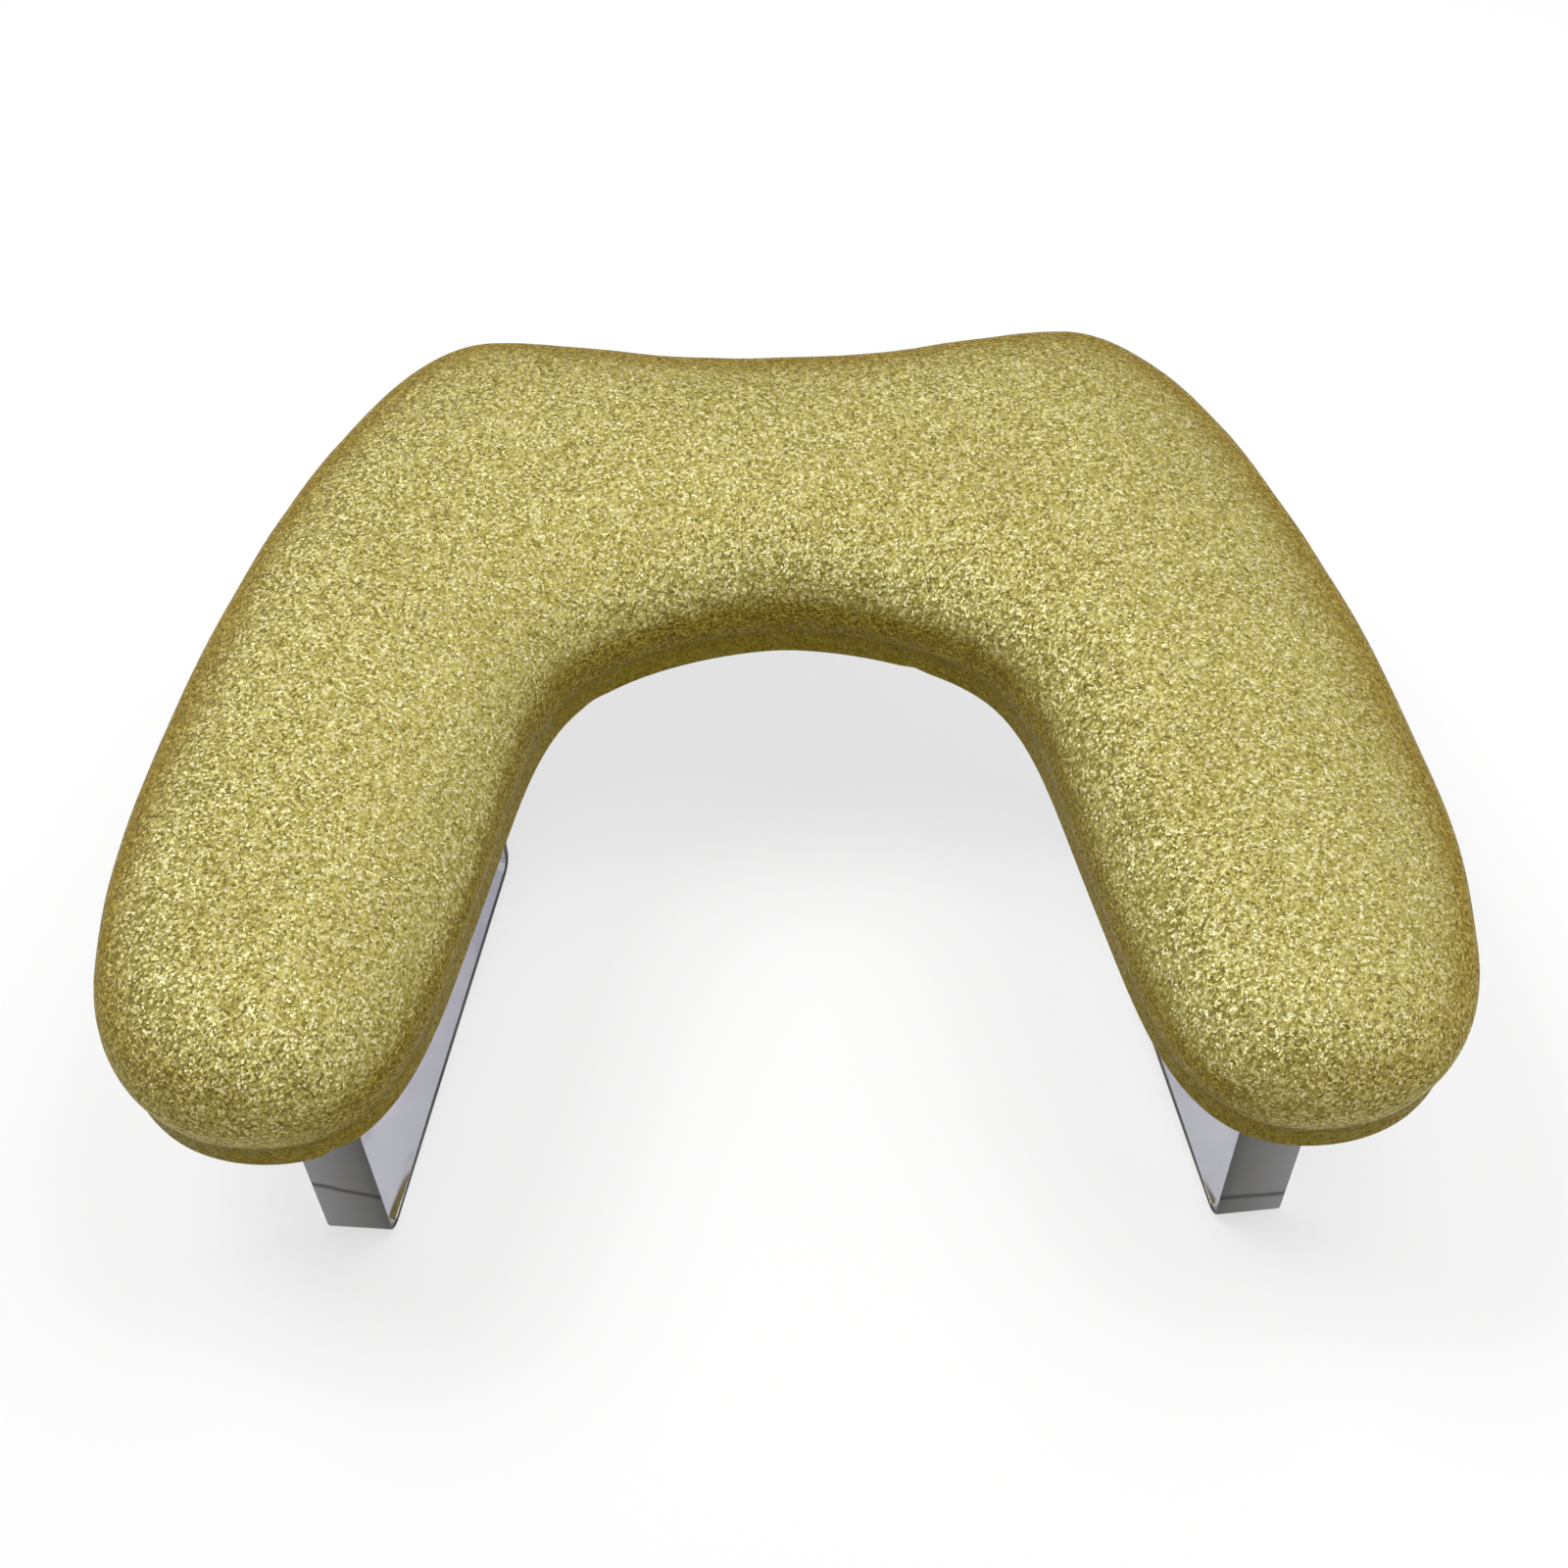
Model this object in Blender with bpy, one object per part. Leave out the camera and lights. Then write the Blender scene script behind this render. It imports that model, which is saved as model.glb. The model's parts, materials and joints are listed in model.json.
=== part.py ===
"""Manicure hand rest: a U-shaped padded cushion carried by two bent metal strip legs.

Units are metres. +X is the sitter's right, +Y the rear and +Z up, with the table at Z = 0.
The right half is drawn and the left half mirrors it.
"""

import math
from typing import NamedTuple

import bmesh
import bpy
from mathutils import Matrix, Vector
from mathutils.geometry import interpolate_bezier

# Clearances
GAP = 0.0003                # between neighbouring pieces
SHANK_CLEARANCE = 0.0005    # round a screw's shank in the holes that it passes through

# Plan of the cushion
HALF_DEPTH = 0.1531         # from the middle to the shoulders and to the arm tips
REAR_DIP_Y = 0.1426         # rear edge on the centre line, dipped between the shoulders
SHOULDER_X = 0.1018
ARM_X = 0.2078              # widest point of an arm
ARM_Y = -0.0840
TIP_X = 0.1554
THROAT_Y = 0.0370           # front edge of the bridge on the centre line
CORNER_X = 0.0716           # where the throat bends into an arm
CORNER_Y = 0.0091
WAIST_X = 0.0982            # straighter stretch on the inner side of an arm
WAIST_Y = -0.0709

# Section of the cushion
OVERALL_HEIGHT = 0.1355
BOARD_THICKNESS = 0.009
COVER_THICKNESS = 0.001
LINING_THICKNESS = 0.0006
EDGE_RADIUS = 0.003         # lower edge of the wrapped board
RIM_LAND = 0.001            # upright stretch of the cover above the board
CREASE_DEPTH = 0.0014
CREASE_RISE = 0.0015
BULGE = 0.0025              # how far the padding stands out over the board's edge
BULGE_RISE = 0.011
CROWN_SIDE_POWER = 2.4
CROWN_TOP_POWER = 2.2
MARGIN_WIDTH = 0.034        # cover turned in under the board
LINING_INSET = 0.018        # from the cover's edge to the lining's edge

# Legs
LEG_HEIGHT = 0.083
LEG_RUN = 0.150
STRIP_WIDTH = 0.021
STRIP_THICKNESS = 0.002
BEND_RADIUS = 0.0025
TAB_LENGTH = 0.038
LEG_TIP_SETBACK_X = 0.0197  # from the arm tip to the leg's front inner corner
LEG_TIP_SETBACK_Y = 0.0155
LEG_SHIFT_X = 0.0035        # both legs stand this far to the right of the cushion's middle
LEG_TOE_IN = math.radians(12.0)

# Fasteners
SCREW_RADIUS = 0.0025
SCREW_SETBACK = 0.0012      # from the top of the board down to a screw's end
HEAD_RADIUS = 0.0048
HEAD_HEIGHT = 0.0032
HEAD_FLAT_RADIUS = 0.0027   # flat middle of the head, round its recess
HEAD_EDGE = 0.001           # upright edge of the head
SCREW_POINT = 0.0006
RECESS_WIDTH = 0.0012
RECESS_SPAN = 0.0052
RECESS_DEPTH = 0.0018
FIRST_SCREW = 0.0115        # from the outer face of an upright
SCREW_PITCH = 0.018
NUT_WALL = 0.0011
NUT_FLANGE_RADIUS = 0.0075
NUT_FLANGE_THICKNESS = 0.0012
NUT_LENGTH = 0.0075
STAPLE_CROWN = 0.010
STAPLE_LEG = 0.007
STAPLE_WIRE = 0.0007
STAPLE_PITCH = 0.052

# Fineness of the faceted surfaces
OUTER_STEPS = (4, 11, 5)    # facets in each stretch of the outer edge
INNER_STEPS = (5, 7, 8)
TIP_FAN = 5                 # last ribs of an arm that share one centre
EDGE_STEPS = 2
BULGE_STEPS = 2
CROWN_STEPS = 6
BEND_STEPS = 4
HEAD_STEPS = 2
ROUND_STEPS = 12
SMOOTH_ANGLE = math.radians(40)   # facets that meet at less are shaded as one face

# Levels, from the table up
TAB_UNDERSIDE_Z = LEG_HEIGHT - STRIP_THICKNESS
LINING_Z = LEG_HEIGHT + GAP
UNDERSIDE_Z = LINING_Z + LINING_THICKNESS + GAP
BOARD_BOTTOM_Z = UNDERSIDE_Z + COVER_THICKNESS + GAP
BOARD_TOP_Z = BOARD_BOTTOM_Z + BOARD_THICKNESS
FOAM_BOTTOM_Z = BOARD_TOP_Z + GAP
RIM_TOP_Z = FOAM_BOTTOM_Z + RIM_LAND
CREASE_Z = RIM_TOP_Z + CREASE_RISE
WIDEST_Z = CREASE_Z + BULGE_RISE

STAPLE_INSET = (LINING_INSET + MARGIN_WIDTH) / 2
HOLE_RADIUS = SCREW_RADIUS + SHANK_CLEARANCE
NUT_RADIUS = SCREW_RADIUS + GAP + NUT_WALL


class Knot(NamedTuple):
    """A point of an outline, its heading in degrees from +X, and the fullness of the curve beside it.

    Fullness is a handle's length as a share of the straight line to the knot on that side.
    """

    x: float
    y: float
    heading: float
    fullness_in: float = 0.0
    fullness_out: float = 0.0


OUTER_KNOTS = (
    Knot(0.0, REAR_DIP_Y, heading=0.0, fullness_out=0.438),
    Knot(SHOULDER_X, HALF_DEPTH, heading=0.0, fullness_in=0.338, fullness_out=0.212),
    Knot(ARM_X, ARM_Y, heading=-90.0, fullness_in=0.269, fullness_out=0.610),
    Knot(TIP_X, -HALF_DEPTH, heading=180.0, fullness_in=0.302),
)
INNER_KNOTS = (
    Knot(0.0, THROAT_Y, heading=0.0, fullness_out=0.196),
    Knot(CORNER_X, CORNER_Y, heading=-52.1, fullness_in=0.349, fullness_out=0.246),
    Knot(WAIST_X, WAIST_Y, heading=-75.3, fullness_in=0.451, fullness_out=0.437),
    Knot(TIP_X, -HALF_DEPTH, heading=0.0, fullness_in=0.392),
)


class Rib(NamedTuple):
    """A line in plan from the cushion's edge to its spine, and the number of its spine point."""

    foot: Vector
    spine: Vector
    number: int

    @property
    def length(self):
        """Length of the rib."""
        return (self.spine - self.foot).length

    @property
    def inward(self):
        """Unit direction from the edge to the spine."""
        return (self.spine - self.foot).normalized()

    def at(self, inset, z):
        """Point at a distance in from the edge, at a height."""
        place = self.foot + self.inward * inset
        return Vector((place.x, place.y, z))


# Plan


def half_curve(knots, steps):
    """Points along the curve through the knots, with a number of facets for each stretch."""
    points = []
    for start, end, count in zip(knots, knots[1:], steps):
        turn_out = math.radians(start.heading)
        turn_in = math.radians(end.heading)
        first = Vector((start.x, start.y))
        last = Vector((end.x, end.y))
        span = (last - first).length
        leaving = Vector((math.cos(turn_out), math.sin(turn_out))) * start.fullness_out * span
        arriving = Vector((math.cos(turn_in), math.sin(turn_in))) * end.fullness_in * span
        points += interpolate_bezier(first, first + leaving, last - arriving, last, count + 1)[:-1]
    points.append(last)
    return points


def mirrored(rib):
    """The same rib on the left half."""
    foot = Vector((-rib.foot.x, rib.foot.y))
    spine = Vector((-rib.spine.x, rib.spine.y))
    return Rib(foot, spine, -rib.number)


def plan_ribs():
    """Ribs round the whole edge, anticlockwise, starting at the middle of the throat."""
    outer = half_curve(OUTER_KNOTS, OUTER_STEPS)
    inner = half_curve(INNER_KNOTS, INNER_STEPS)
    spine = [(a + b) / 2 for a, b in zip(outer, inner)]
    tip = len(spine) - 1
    centre = tip - TIP_FAN
    feet = list(enumerate(inner)) + list(enumerate(outer))[-2::-1]
    right = [Rib(foot, spine[min(place, centre)], min(place, centre)) for place, foot in feet]
    left = [mirrored(rib) for rib in reversed(right[1:-1])]
    return right + left


# Section


def cover_section(rib_length):
    """Outer face of the cover along a rib, as (inset, height), from the turned-in edge to the crown."""
    points = [Vector((MARGIN_WIDTH, UNDERSIDE_Z))]
    for step in range(EDGE_STEPS + 1):
        turn = math.radians(90) * step / EDGE_STEPS
        inset = EDGE_RADIUS * (1 - math.sin(turn))
        points.append(Vector((inset, UNDERSIDE_Z + EDGE_RADIUS * (1 - math.cos(turn)))))
    points.append(Vector((0.0, RIM_TOP_Z)))
    for step in range(BULGE_STEPS + 1):
        share = step / BULGE_STEPS
        inset = CREASE_DEPTH - (BULGE + CREASE_DEPTH) * math.sin(math.radians(90) * share)
        points.append(Vector((inset, CREASE_Z + BULGE_RISE * share)))
    for step in range(1, CROWN_STEPS + 1):
        turn = math.radians(90) * step / CROWN_STEPS
        out = max(math.cos(turn), 0.0) ** (2 / CROWN_SIDE_POWER)
        rise = math.sin(turn) ** (2 / CROWN_TOP_POWER)
        inset = (BULGE + rib_length) * (1 - out) - BULGE
        points.append(Vector((inset, WIDEST_Z + (OVERALL_HEIGHT - WIDEST_Z) * rise)))
    return points


def shrunk(points, depth):
    """The section moved into the body by a depth, square to its face."""
    normals = []
    for start, end in zip(points, points[1:]):
        along = (end - start).normalized()
        normals.append(Vector((along.y, -along.x)))
    normals.append(Vector((0.0, -1.0)))
    moved = [points[0] + normals[0] * depth]
    for point, before, after in zip(points[1:-1], normals, normals[1:-1]):
        between = (before + after).normalized()
        moved.append(point + between * (depth / between.dot(before)))
    moved.append(points[-1] + normals[-1] * depth)
    return moved


def board_edge(rib_length):
    """Edge of the board along a rib, from its bottom face to its top face."""
    lower = shrunk(cover_section(rib_length), COVER_THICKNESS + GAP)[1:EDGE_STEPS + 2]
    return lower + [Vector((lower[-1].x, BOARD_TOP_Z))]


def foam_section(rib_length):
    """Face of the padding along a rib, from its flat bottom to the crown."""
    upper = shrunk(cover_section(rib_length), COVER_THICKNESS + GAP)[EDGE_STEPS + 2:]
    return [Vector((COVER_THICKNESS + GAP, FOAM_BOTTOM_Z))] + upper


def lining_edge(_rib_length):
    """Edge of the lining along a rib, from its lower face to its upper face."""
    return [Vector((LINING_INSET, LINING_Z)), Vector((LINING_INSET, LINING_Z + LINING_THICKNESS))]


# Mesh building


def neighbours(items):
    """Each item with the next one round a closed loop."""
    return zip(items, items[1:] + items[:1])


def add_rows(bm, ribs, section, keep=None):
    """Add the section's points on every rib and join them into bands; return the rows of points."""
    profiles = [section(rib.length)[:keep] for rib in ribs]
    rows = []
    for level in range(len(profiles[0])):
        rows.append([bm.verts.new(rib.at(*profile[level])) for rib, profile in zip(ribs, profiles)])
    for lower, upper in zip(rows, rows[1:]):
        for (a, b), (d, c) in zip(neighbours(lower), neighbours(upper)):
            bm.faces.new((a, b, c, d))
    return rows


def add_domed_skin(bm, ribs, section):
    """Add a skin that closes over the spine; return its open lower row."""
    rows = add_rows(bm, ribs, section, keep=-1)
    crown = {}
    for rib in ribs:
        if rib.number not in crown:
            top = section(rib.length)[-1].y
            crown[rib.number] = bm.verts.new((rib.spine.x, rib.spine.y, top))
    numbers = [rib.number for rib in ribs]
    for (a, b), (first, second) in zip(neighbours(rows[-1]), neighbours(numbers)):
        corners = [a, b, crown[second], crown[first]]
        if first == second:
            corners.pop()
        bm.faces.new(corners)
    return rows[0]


def lathe(bm, profile, matrix=Matrix.Identity(4)):
    """Turn a closed (radius, height) profile about Z; points on the axis are shared."""
    rings = []
    for radius, height in profile:
        if radius == 0:
            rings.append([bm.verts.new(matrix @ Vector((0, 0, height)))] * ROUND_STEPS)
            continue
        ring = []
        for step in range(ROUND_STEPS):
            turn = math.tau * step / ROUND_STEPS
            spot = Vector((radius * math.cos(turn), radius * math.sin(turn), height))
            ring.append(bm.verts.new(matrix @ spot))
        rings.append(ring)
    pairs = list(zip(rings, rings[1:]))
    if profile[0][0] > 0:
        pairs.append((rings[-1], rings[0]))
    for lower, upper in pairs:
        for (a, b), (d, c) in zip(neighbours(lower), neighbours(upper)):
            bm.faces.new(list(dict.fromkeys((a, b, c, d))))


def add_prism(bm, outline, start, end):
    """Join two copies of a flat outline, moved by a start and an end offset, into a prism."""
    first = [bm.verts.new(point + start) for point in outline]
    last = [bm.verts.new(point + end) for point in outline]
    bm.faces.new(first)
    bm.faces.new(last)
    for (a, b), (d, c) in zip(neighbours(first), neighbours(last)):
        bm.faces.new((a, b, c, d))


def finish(bm, name, material=None, smooth=False):
    """Turn the mesh outward, link it as an object and give it its material."""
    bmesh.ops.recalc_face_normals(bm, faces=bm.faces[:])
    mesh = bpy.data.meshes.new(name)
    bm.to_mesh(mesh)
    bm.free()
    piece = bpy.data.objects.new(name, mesh)
    bpy.context.scene.collection.objects.link(piece)
    if material:
        mesh.materials.append(material)
    if smooth:
        mesh.shade_smooth()
        mesh.set_sharp_from_angle(angle=SMOOTH_ANGLE)
    return piece


def make_cutter(bm, name):
    """Finish a mesh as a cutting tool that is no piece of its own."""
    cutter = finish(bm, name)
    cutter.hide_render = True
    cutter.display_type = "WIRE"
    return cutter


def cut(piece, *cutters):
    """Cut a piece with one tool after another."""
    for cutter in cutters:
        modifier = piece.modifiers.new(cutter.name, "BOOLEAN")
        modifier.operation = "DIFFERENCE"
        modifier.solver = "EXACT"
        modifier.object = cutter


def make_material(name, colour, roughness, metallic=0.0):
    """A plain surface of one colour."""
    material = bpy.data.materials.new(name)
    material.use_nodes = True
    shader = material.node_tree.nodes["Principled BSDF"]
    shader.inputs["Base Color"].default_value = (*colour, 1.0)
    shader.inputs["Roughness"].default_value = roughness
    shader.inputs["Metallic"].default_value = metallic
    return material


# Places of the legs and their screws


def leg_matrix(side):
    """Place of a leg: its front inner corner on the table, turned by its toe-in."""
    x = LEG_SHIFT_X + side * (TIP_X - LEG_TIP_SETBACK_X)
    y = LEG_TIP_SETBACK_Y - HALF_DEPTH
    return Matrix.Translation((x, y, 0)) @ Matrix.Rotation(side * LEG_TOE_IN, 4, "Z")


def screw_places():
    """World place of each screw's axis, at the table's level, by side and in order to the rear."""
    reaches = (FIRST_SCREW, FIRST_SCREW + SCREW_PITCH)
    rows = [*reaches, *(LEG_RUN - reach for reach in reversed(reaches))]
    places = {}
    for side, word in ((-1, "left"), (1, "right")):
        for number, row in enumerate(rows, 1):
            middle = Vector((side * STRIP_WIDTH / 2, row, 0))
            places[f"{word}_{number}"] = leg_matrix(side) @ middle
    return places


def over_a_tab(place):
    """Whether a staple at a place would meet a leg's tab."""
    reach = STAPLE_CROWN / 2 + STRIP_THICKNESS
    side = 1 if place.x > 0 else -1
    local = leg_matrix(side).inverted() @ Vector((place.x, place.y, 0))
    across = -reach < side * local.x < STRIP_WIDTH + reach
    front = -reach < local.y < TAB_LENGTH + reach
    rear = LEG_RUN - TAB_LENGTH - reach < local.y < LEG_RUN + reach
    return across and (front or rear)


def staple_matrices(ribs):
    """Place of each staple at the lining's lower face, with its crown along local X."""
    places = []
    travelled = STAPLE_PITCH
    previous = ribs[0].at(STAPLE_INSET, 0)
    for rib in ribs[1:]:
        place = rib.at(STAPLE_INSET, LINING_Z)
        travelled += (place.xy - previous.xy).length
        previous = place
        if travelled < STAPLE_PITCH or over_a_tab(place):
            continue
        travelled = 0.0
        heading = math.atan2(rib.inward.y, rib.inward.x) - math.radians(90)
        places.append(Matrix.Translation(place) @ Matrix.Rotation(heading, 4, "Z"))
    return places


# Cutting tools


def make_screw_drill():
    """Clearance holes through the tabs, the lining and the turned-in cover."""
    bm = bmesh.new()
    bottom = TAB_UNDERSIDE_Z - GAP
    top = UNDERSIDE_Z + COVER_THICKNESS + GAP / 2
    for place in screw_places().values():
        profile = ((0, bottom), (HOLE_RADIUS, bottom), (HOLE_RADIUS, top), (0, top))
        lathe(bm, profile, Matrix.Translation(place))
    return make_cutter(bm, "screw_drill")


def make_nut_drill():
    """Holes through the board, each with a seat for a nut's flange at the top."""
    bm = bmesh.new()
    bottom = BOARD_BOTTOM_Z - GAP / 2
    seat = BOARD_TOP_Z - NUT_FLANGE_THICKNESS - GAP
    top = BOARD_TOP_Z + GAP / 2
    barrel = NUT_RADIUS + GAP
    flange = NUT_FLANGE_RADIUS + GAP
    for place in screw_places().values():
        profile = (
            (0, bottom), (barrel, bottom), (barrel, seat), (flange, seat), (flange, top), (0, top),
        )
        lathe(bm, profile, Matrix.Translation(place))
    return make_cutter(bm, "nut_drill")


def make_recess_drill():
    """Cross recesses in the screw heads."""
    bm = bmesh.new()
    half = RECESS_WIDTH / 2
    arm = RECESS_SPAN / 2
    quarter = [Vector((half, arm, 0)), Vector((half, half, 0)), Vector((arm, half, 0))]
    outline = []
    for step in range(4):
        turn = Matrix.Rotation(math.radians(-90) * step, 3, "Z")
        outline += [turn @ point for point in quarter]
    head_z = TAB_UNDERSIDE_Z - GAP - HEAD_HEIGHT
    for place in screw_places().values():
        floor = place + Vector((0, 0, head_z + RECESS_DEPTH))
        add_prism(bm, outline, place + Vector((0, 0, head_z - GAP)), floor)
    return make_cutter(bm, "recess_drill")


def make_staple_punch(matrices):
    """Slots for the staples' legs through the lining and the cover and into the board."""
    bm = bmesh.new()
    half = STAPLE_WIRE / 2 + GAP
    square = [Vector((x, y, 0)) for x, y in ((-half, -half), (half, -half), (half, half), (-half, half))]
    for matrix in matrices:
        for side in (-1, 1):
            middle = Vector((side * (STAPLE_CROWN - STAPLE_WIRE) / 2, 0, 0))
            turned = [matrix @ (middle + corner) for corner in square]
            add_prism(bm, turned, Vector((0, 0, -GAP / 2)), Vector((0, 0, STAPLE_LEG)))
    return make_cutter(bm, "staple_punch")


# Pieces


def make_board(ribs, material):
    """U-shaped board with a rounded lower edge."""
    bm = bmesh.new()
    rows = add_rows(bm, ribs, board_edge)
    bm.faces.new(rows[0])
    bm.faces.new(rows[-1])
    return finish(bm, "base_board", material)


def make_foam(ribs, material):
    """Crowned padding on the board."""
    bm = bmesh.new()
    bm.faces.new(add_domed_skin(bm, ribs, foam_section))
    return finish(bm, "foam_pad", material, smooth=True)


def make_cover(ribs, material):
    """Covering drawn over the padding and turned in under the board."""
    bm = bmesh.new()
    outside = add_domed_skin(bm, ribs, cover_section)
    inside = add_domed_skin(bm, ribs, lambda length: shrunk(cover_section(length), COVER_THICKNESS))
    for (a, b), (d, c) in zip(neighbours(outside), neighbours(inside)):
        bm.faces.new((a, b, c, d))
    return finish(bm, "leather_cover", material, smooth=True)


def make_lining(ribs, material):
    """Flat lining under the board."""
    bm = bmesh.new()
    rows = add_rows(bm, ribs, lining_edge)
    bm.faces.new(rows[0])
    bm.faces.new(rows[-1])
    return finish(bm, "underside_lining", material)


def bend(centre_y, centre_z, radius, start):
    """Points round a quarter bend in the leg's side view, anticlockwise from a start angle."""
    points = []
    for step in range(BEND_STEPS + 1):
        turn = math.radians(start + 90 * step / BEND_STEPS)
        y = centre_y + radius * math.cos(turn)
        points.append(Vector((0, y, centre_z + radius * math.sin(turn))))
    return points


def strip_face(inset):
    """One face of a leg's strip in side view, from the front tab's end round to the rear tab's end."""
    radius = BEND_RADIUS + STRIP_THICKNESS - inset
    near = BEND_RADIUS + STRIP_THICKNESS
    rear = LEG_RUN - near
    top = LEG_HEIGHT - near
    front_end = [Vector((0, TAB_LENGTH, LEG_HEIGHT - inset))]
    rear_end = [Vector((0, LEG_RUN - TAB_LENGTH, LEG_HEIGHT - inset))]
    front = bend(near, top, radius, 90) + bend(near, near, radius, 180)
    back = bend(rear, near, radius, 270) + bend(rear, top, radius, 0)
    return front_end + front + back + rear_end


def make_leg(side, word, material):
    """One strip bent into a loop: a run on the table, two uprights and two holed tabs."""
    bm = bmesh.new()
    outline = strip_face(0.0) + strip_face(STRIP_THICKNESS)[::-1]
    add_prism(bm, outline, Vector((0, 0, 0)), Vector((side * STRIP_WIDTH, 0, 0)))
    leg = finish(bm, f"{word}_leg", material, smooth=True)
    leg.matrix_world = leg_matrix(side)
    return leg


def make_screw(name, place, material):
    """Pan-head screw pointing up, its head under a leg's tab."""
    bm = bmesh.new()
    seat = TAB_UNDERSIDE_Z - GAP
    end = BOARD_TOP_Z - SCREW_SETBACK
    profile = [(0, seat - HEAD_HEIGHT)]
    for step in range(HEAD_STEPS + 1):
        turn = math.radians(90) * step / HEAD_STEPS
        radius = HEAD_FLAT_RADIUS + (HEAD_RADIUS - HEAD_FLAT_RADIUS) * math.sin(turn)
        profile.append((radius, seat - HEAD_EDGE - (HEAD_HEIGHT - HEAD_EDGE) * math.cos(turn)))
    profile += [
        (HEAD_RADIUS, seat),
        (SCREW_RADIUS, seat),
        (SCREW_RADIUS, end - SCREW_POINT),
        (SCREW_RADIUS - SCREW_POINT, end),
        (0, end),
    ]
    lathe(bm, profile)
    screw = finish(bm, name, material, smooth=True)
    screw.location = place
    return screw


def make_nut(name, place, material):
    """Flanged insert nut let into the top of the board."""
    bm = bmesh.new()
    bore = SCREW_RADIUS + GAP
    flange_z = BOARD_TOP_Z - NUT_FLANGE_THICKNESS
    profile = (
        (bore, BOARD_TOP_Z - NUT_LENGTH),
        (NUT_RADIUS, BOARD_TOP_Z - NUT_LENGTH),
        (NUT_RADIUS, flange_z),
        (NUT_FLANGE_RADIUS, flange_z),
        (NUT_FLANGE_RADIUS, BOARD_TOP_Z),
        (bore, BOARD_TOP_Z),
    )
    lathe(bm, profile)
    nut = finish(bm, name, material, smooth=True)
    nut.location = place
    return nut


def make_staple(name, matrix, material):
    """Wire staple: its crown lies under the lining and its legs point up."""
    bm = bmesh.new()
    outer = STAPLE_CROWN / 2
    inner = outer - STAPLE_WIRE
    bottom = -GAP - STAPLE_WIRE
    top = STAPLE_LEG - GAP
    corners = (
        (-outer, bottom), (outer, bottom), (outer, top), (inner, top),
        (inner, -GAP), (-inner, -GAP), (-inner, top), (-outer, top),
    )
    outline = [Vector((x, -STAPLE_WIRE / 2, z)) for x, z in corners]
    add_prism(bm, outline, Vector((0, 0, 0)), Vector((0, STAPLE_WIRE, 0)))
    staple = finish(bm, name, material)
    staple.matrix_world = matrix
    return staple


def build():
    """Model the whole hand rest."""
    for item in list(bpy.data.objects):
        bpy.data.objects.remove(item, do_unlink=True)

    gold = make_material("glitter_leather", (0.48, 0.42, 0.16), 0.45, metallic=0.2)
    foam = make_material("foam", (0.85, 0.80, 0.60), 0.95)
    wood = make_material("plywood", (0.60, 0.43, 0.25), 0.8)
    cloth = make_material("white_lining", (0.85, 0.85, 0.88), 0.9)
    chrome = make_material("polished_strip", (0.75, 0.75, 0.78), 0.08, metallic=1.0)
    steel = make_material("zinc_steel", (0.62, 0.63, 0.65), 0.3, metallic=1.0)

    ribs = plan_ribs()
    staple_places = staple_matrices(ribs)
    screw_drill = make_screw_drill()
    nut_drill = make_nut_drill()
    recess_drill = make_recess_drill()
    staple_punch = make_staple_punch(staple_places)

    cut(make_board(ribs, wood), nut_drill, staple_punch)
    make_foam(ribs, foam)
    cut(make_cover(ribs, gold), screw_drill, staple_punch)
    cut(make_lining(ribs, cloth), screw_drill, staple_punch)
    for side, word in ((-1, "left"), (1, "right")):
        cut(make_leg(side, word, chrome), screw_drill)
    for label, place in screw_places().items():
        cut(make_screw(f"screw_{label}", place, steel), recess_drill)
        make_nut(f"insert_nut_{label}", place, steel)
    for number, matrix in enumerate(staple_places, 1):
        make_staple(f"staple_{number:02d}", matrix, steel)


build()
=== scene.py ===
"""Looks of the manicure hand rest: glitter cushion, polished strip legs, lining and fasteners.

Units are metres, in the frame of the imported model: +X is the sitter's right, +Y the rear, +Z up.
"""

import json
import logging
import math
from dataclasses import dataclass, field
from enum import Enum
from typing import Iterable, Optional, Sequence

import bmesh
import bpy
import numpy as np
from mathutils import Matrix, Vector, noise
from mathutils.geometry import interpolate_bezier
from mathutils.kdtree import KDTree

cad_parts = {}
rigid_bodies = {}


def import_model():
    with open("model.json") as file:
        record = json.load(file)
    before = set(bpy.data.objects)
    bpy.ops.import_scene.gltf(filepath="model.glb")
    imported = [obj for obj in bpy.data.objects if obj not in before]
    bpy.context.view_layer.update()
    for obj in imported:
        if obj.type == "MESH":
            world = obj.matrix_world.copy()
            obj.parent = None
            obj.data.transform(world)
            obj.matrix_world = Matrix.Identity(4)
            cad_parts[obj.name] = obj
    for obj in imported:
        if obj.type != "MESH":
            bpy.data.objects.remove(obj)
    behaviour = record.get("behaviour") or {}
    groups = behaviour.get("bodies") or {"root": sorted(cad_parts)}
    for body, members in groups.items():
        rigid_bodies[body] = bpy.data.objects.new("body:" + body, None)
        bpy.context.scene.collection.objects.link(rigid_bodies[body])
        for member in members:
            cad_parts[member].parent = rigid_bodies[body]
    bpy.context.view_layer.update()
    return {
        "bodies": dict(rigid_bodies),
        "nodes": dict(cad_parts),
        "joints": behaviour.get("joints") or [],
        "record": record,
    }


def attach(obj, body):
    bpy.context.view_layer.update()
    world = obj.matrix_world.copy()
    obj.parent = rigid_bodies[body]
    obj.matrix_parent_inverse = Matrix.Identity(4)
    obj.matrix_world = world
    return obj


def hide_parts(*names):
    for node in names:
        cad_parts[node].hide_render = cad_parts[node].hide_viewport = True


LOG = logging.getLogger("hand_rest")
BODY = "root"
WHITE = (1.0, 1.0, 1.0)
NEARLY_ZERO = 1e-12
MM = 1e3


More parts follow.
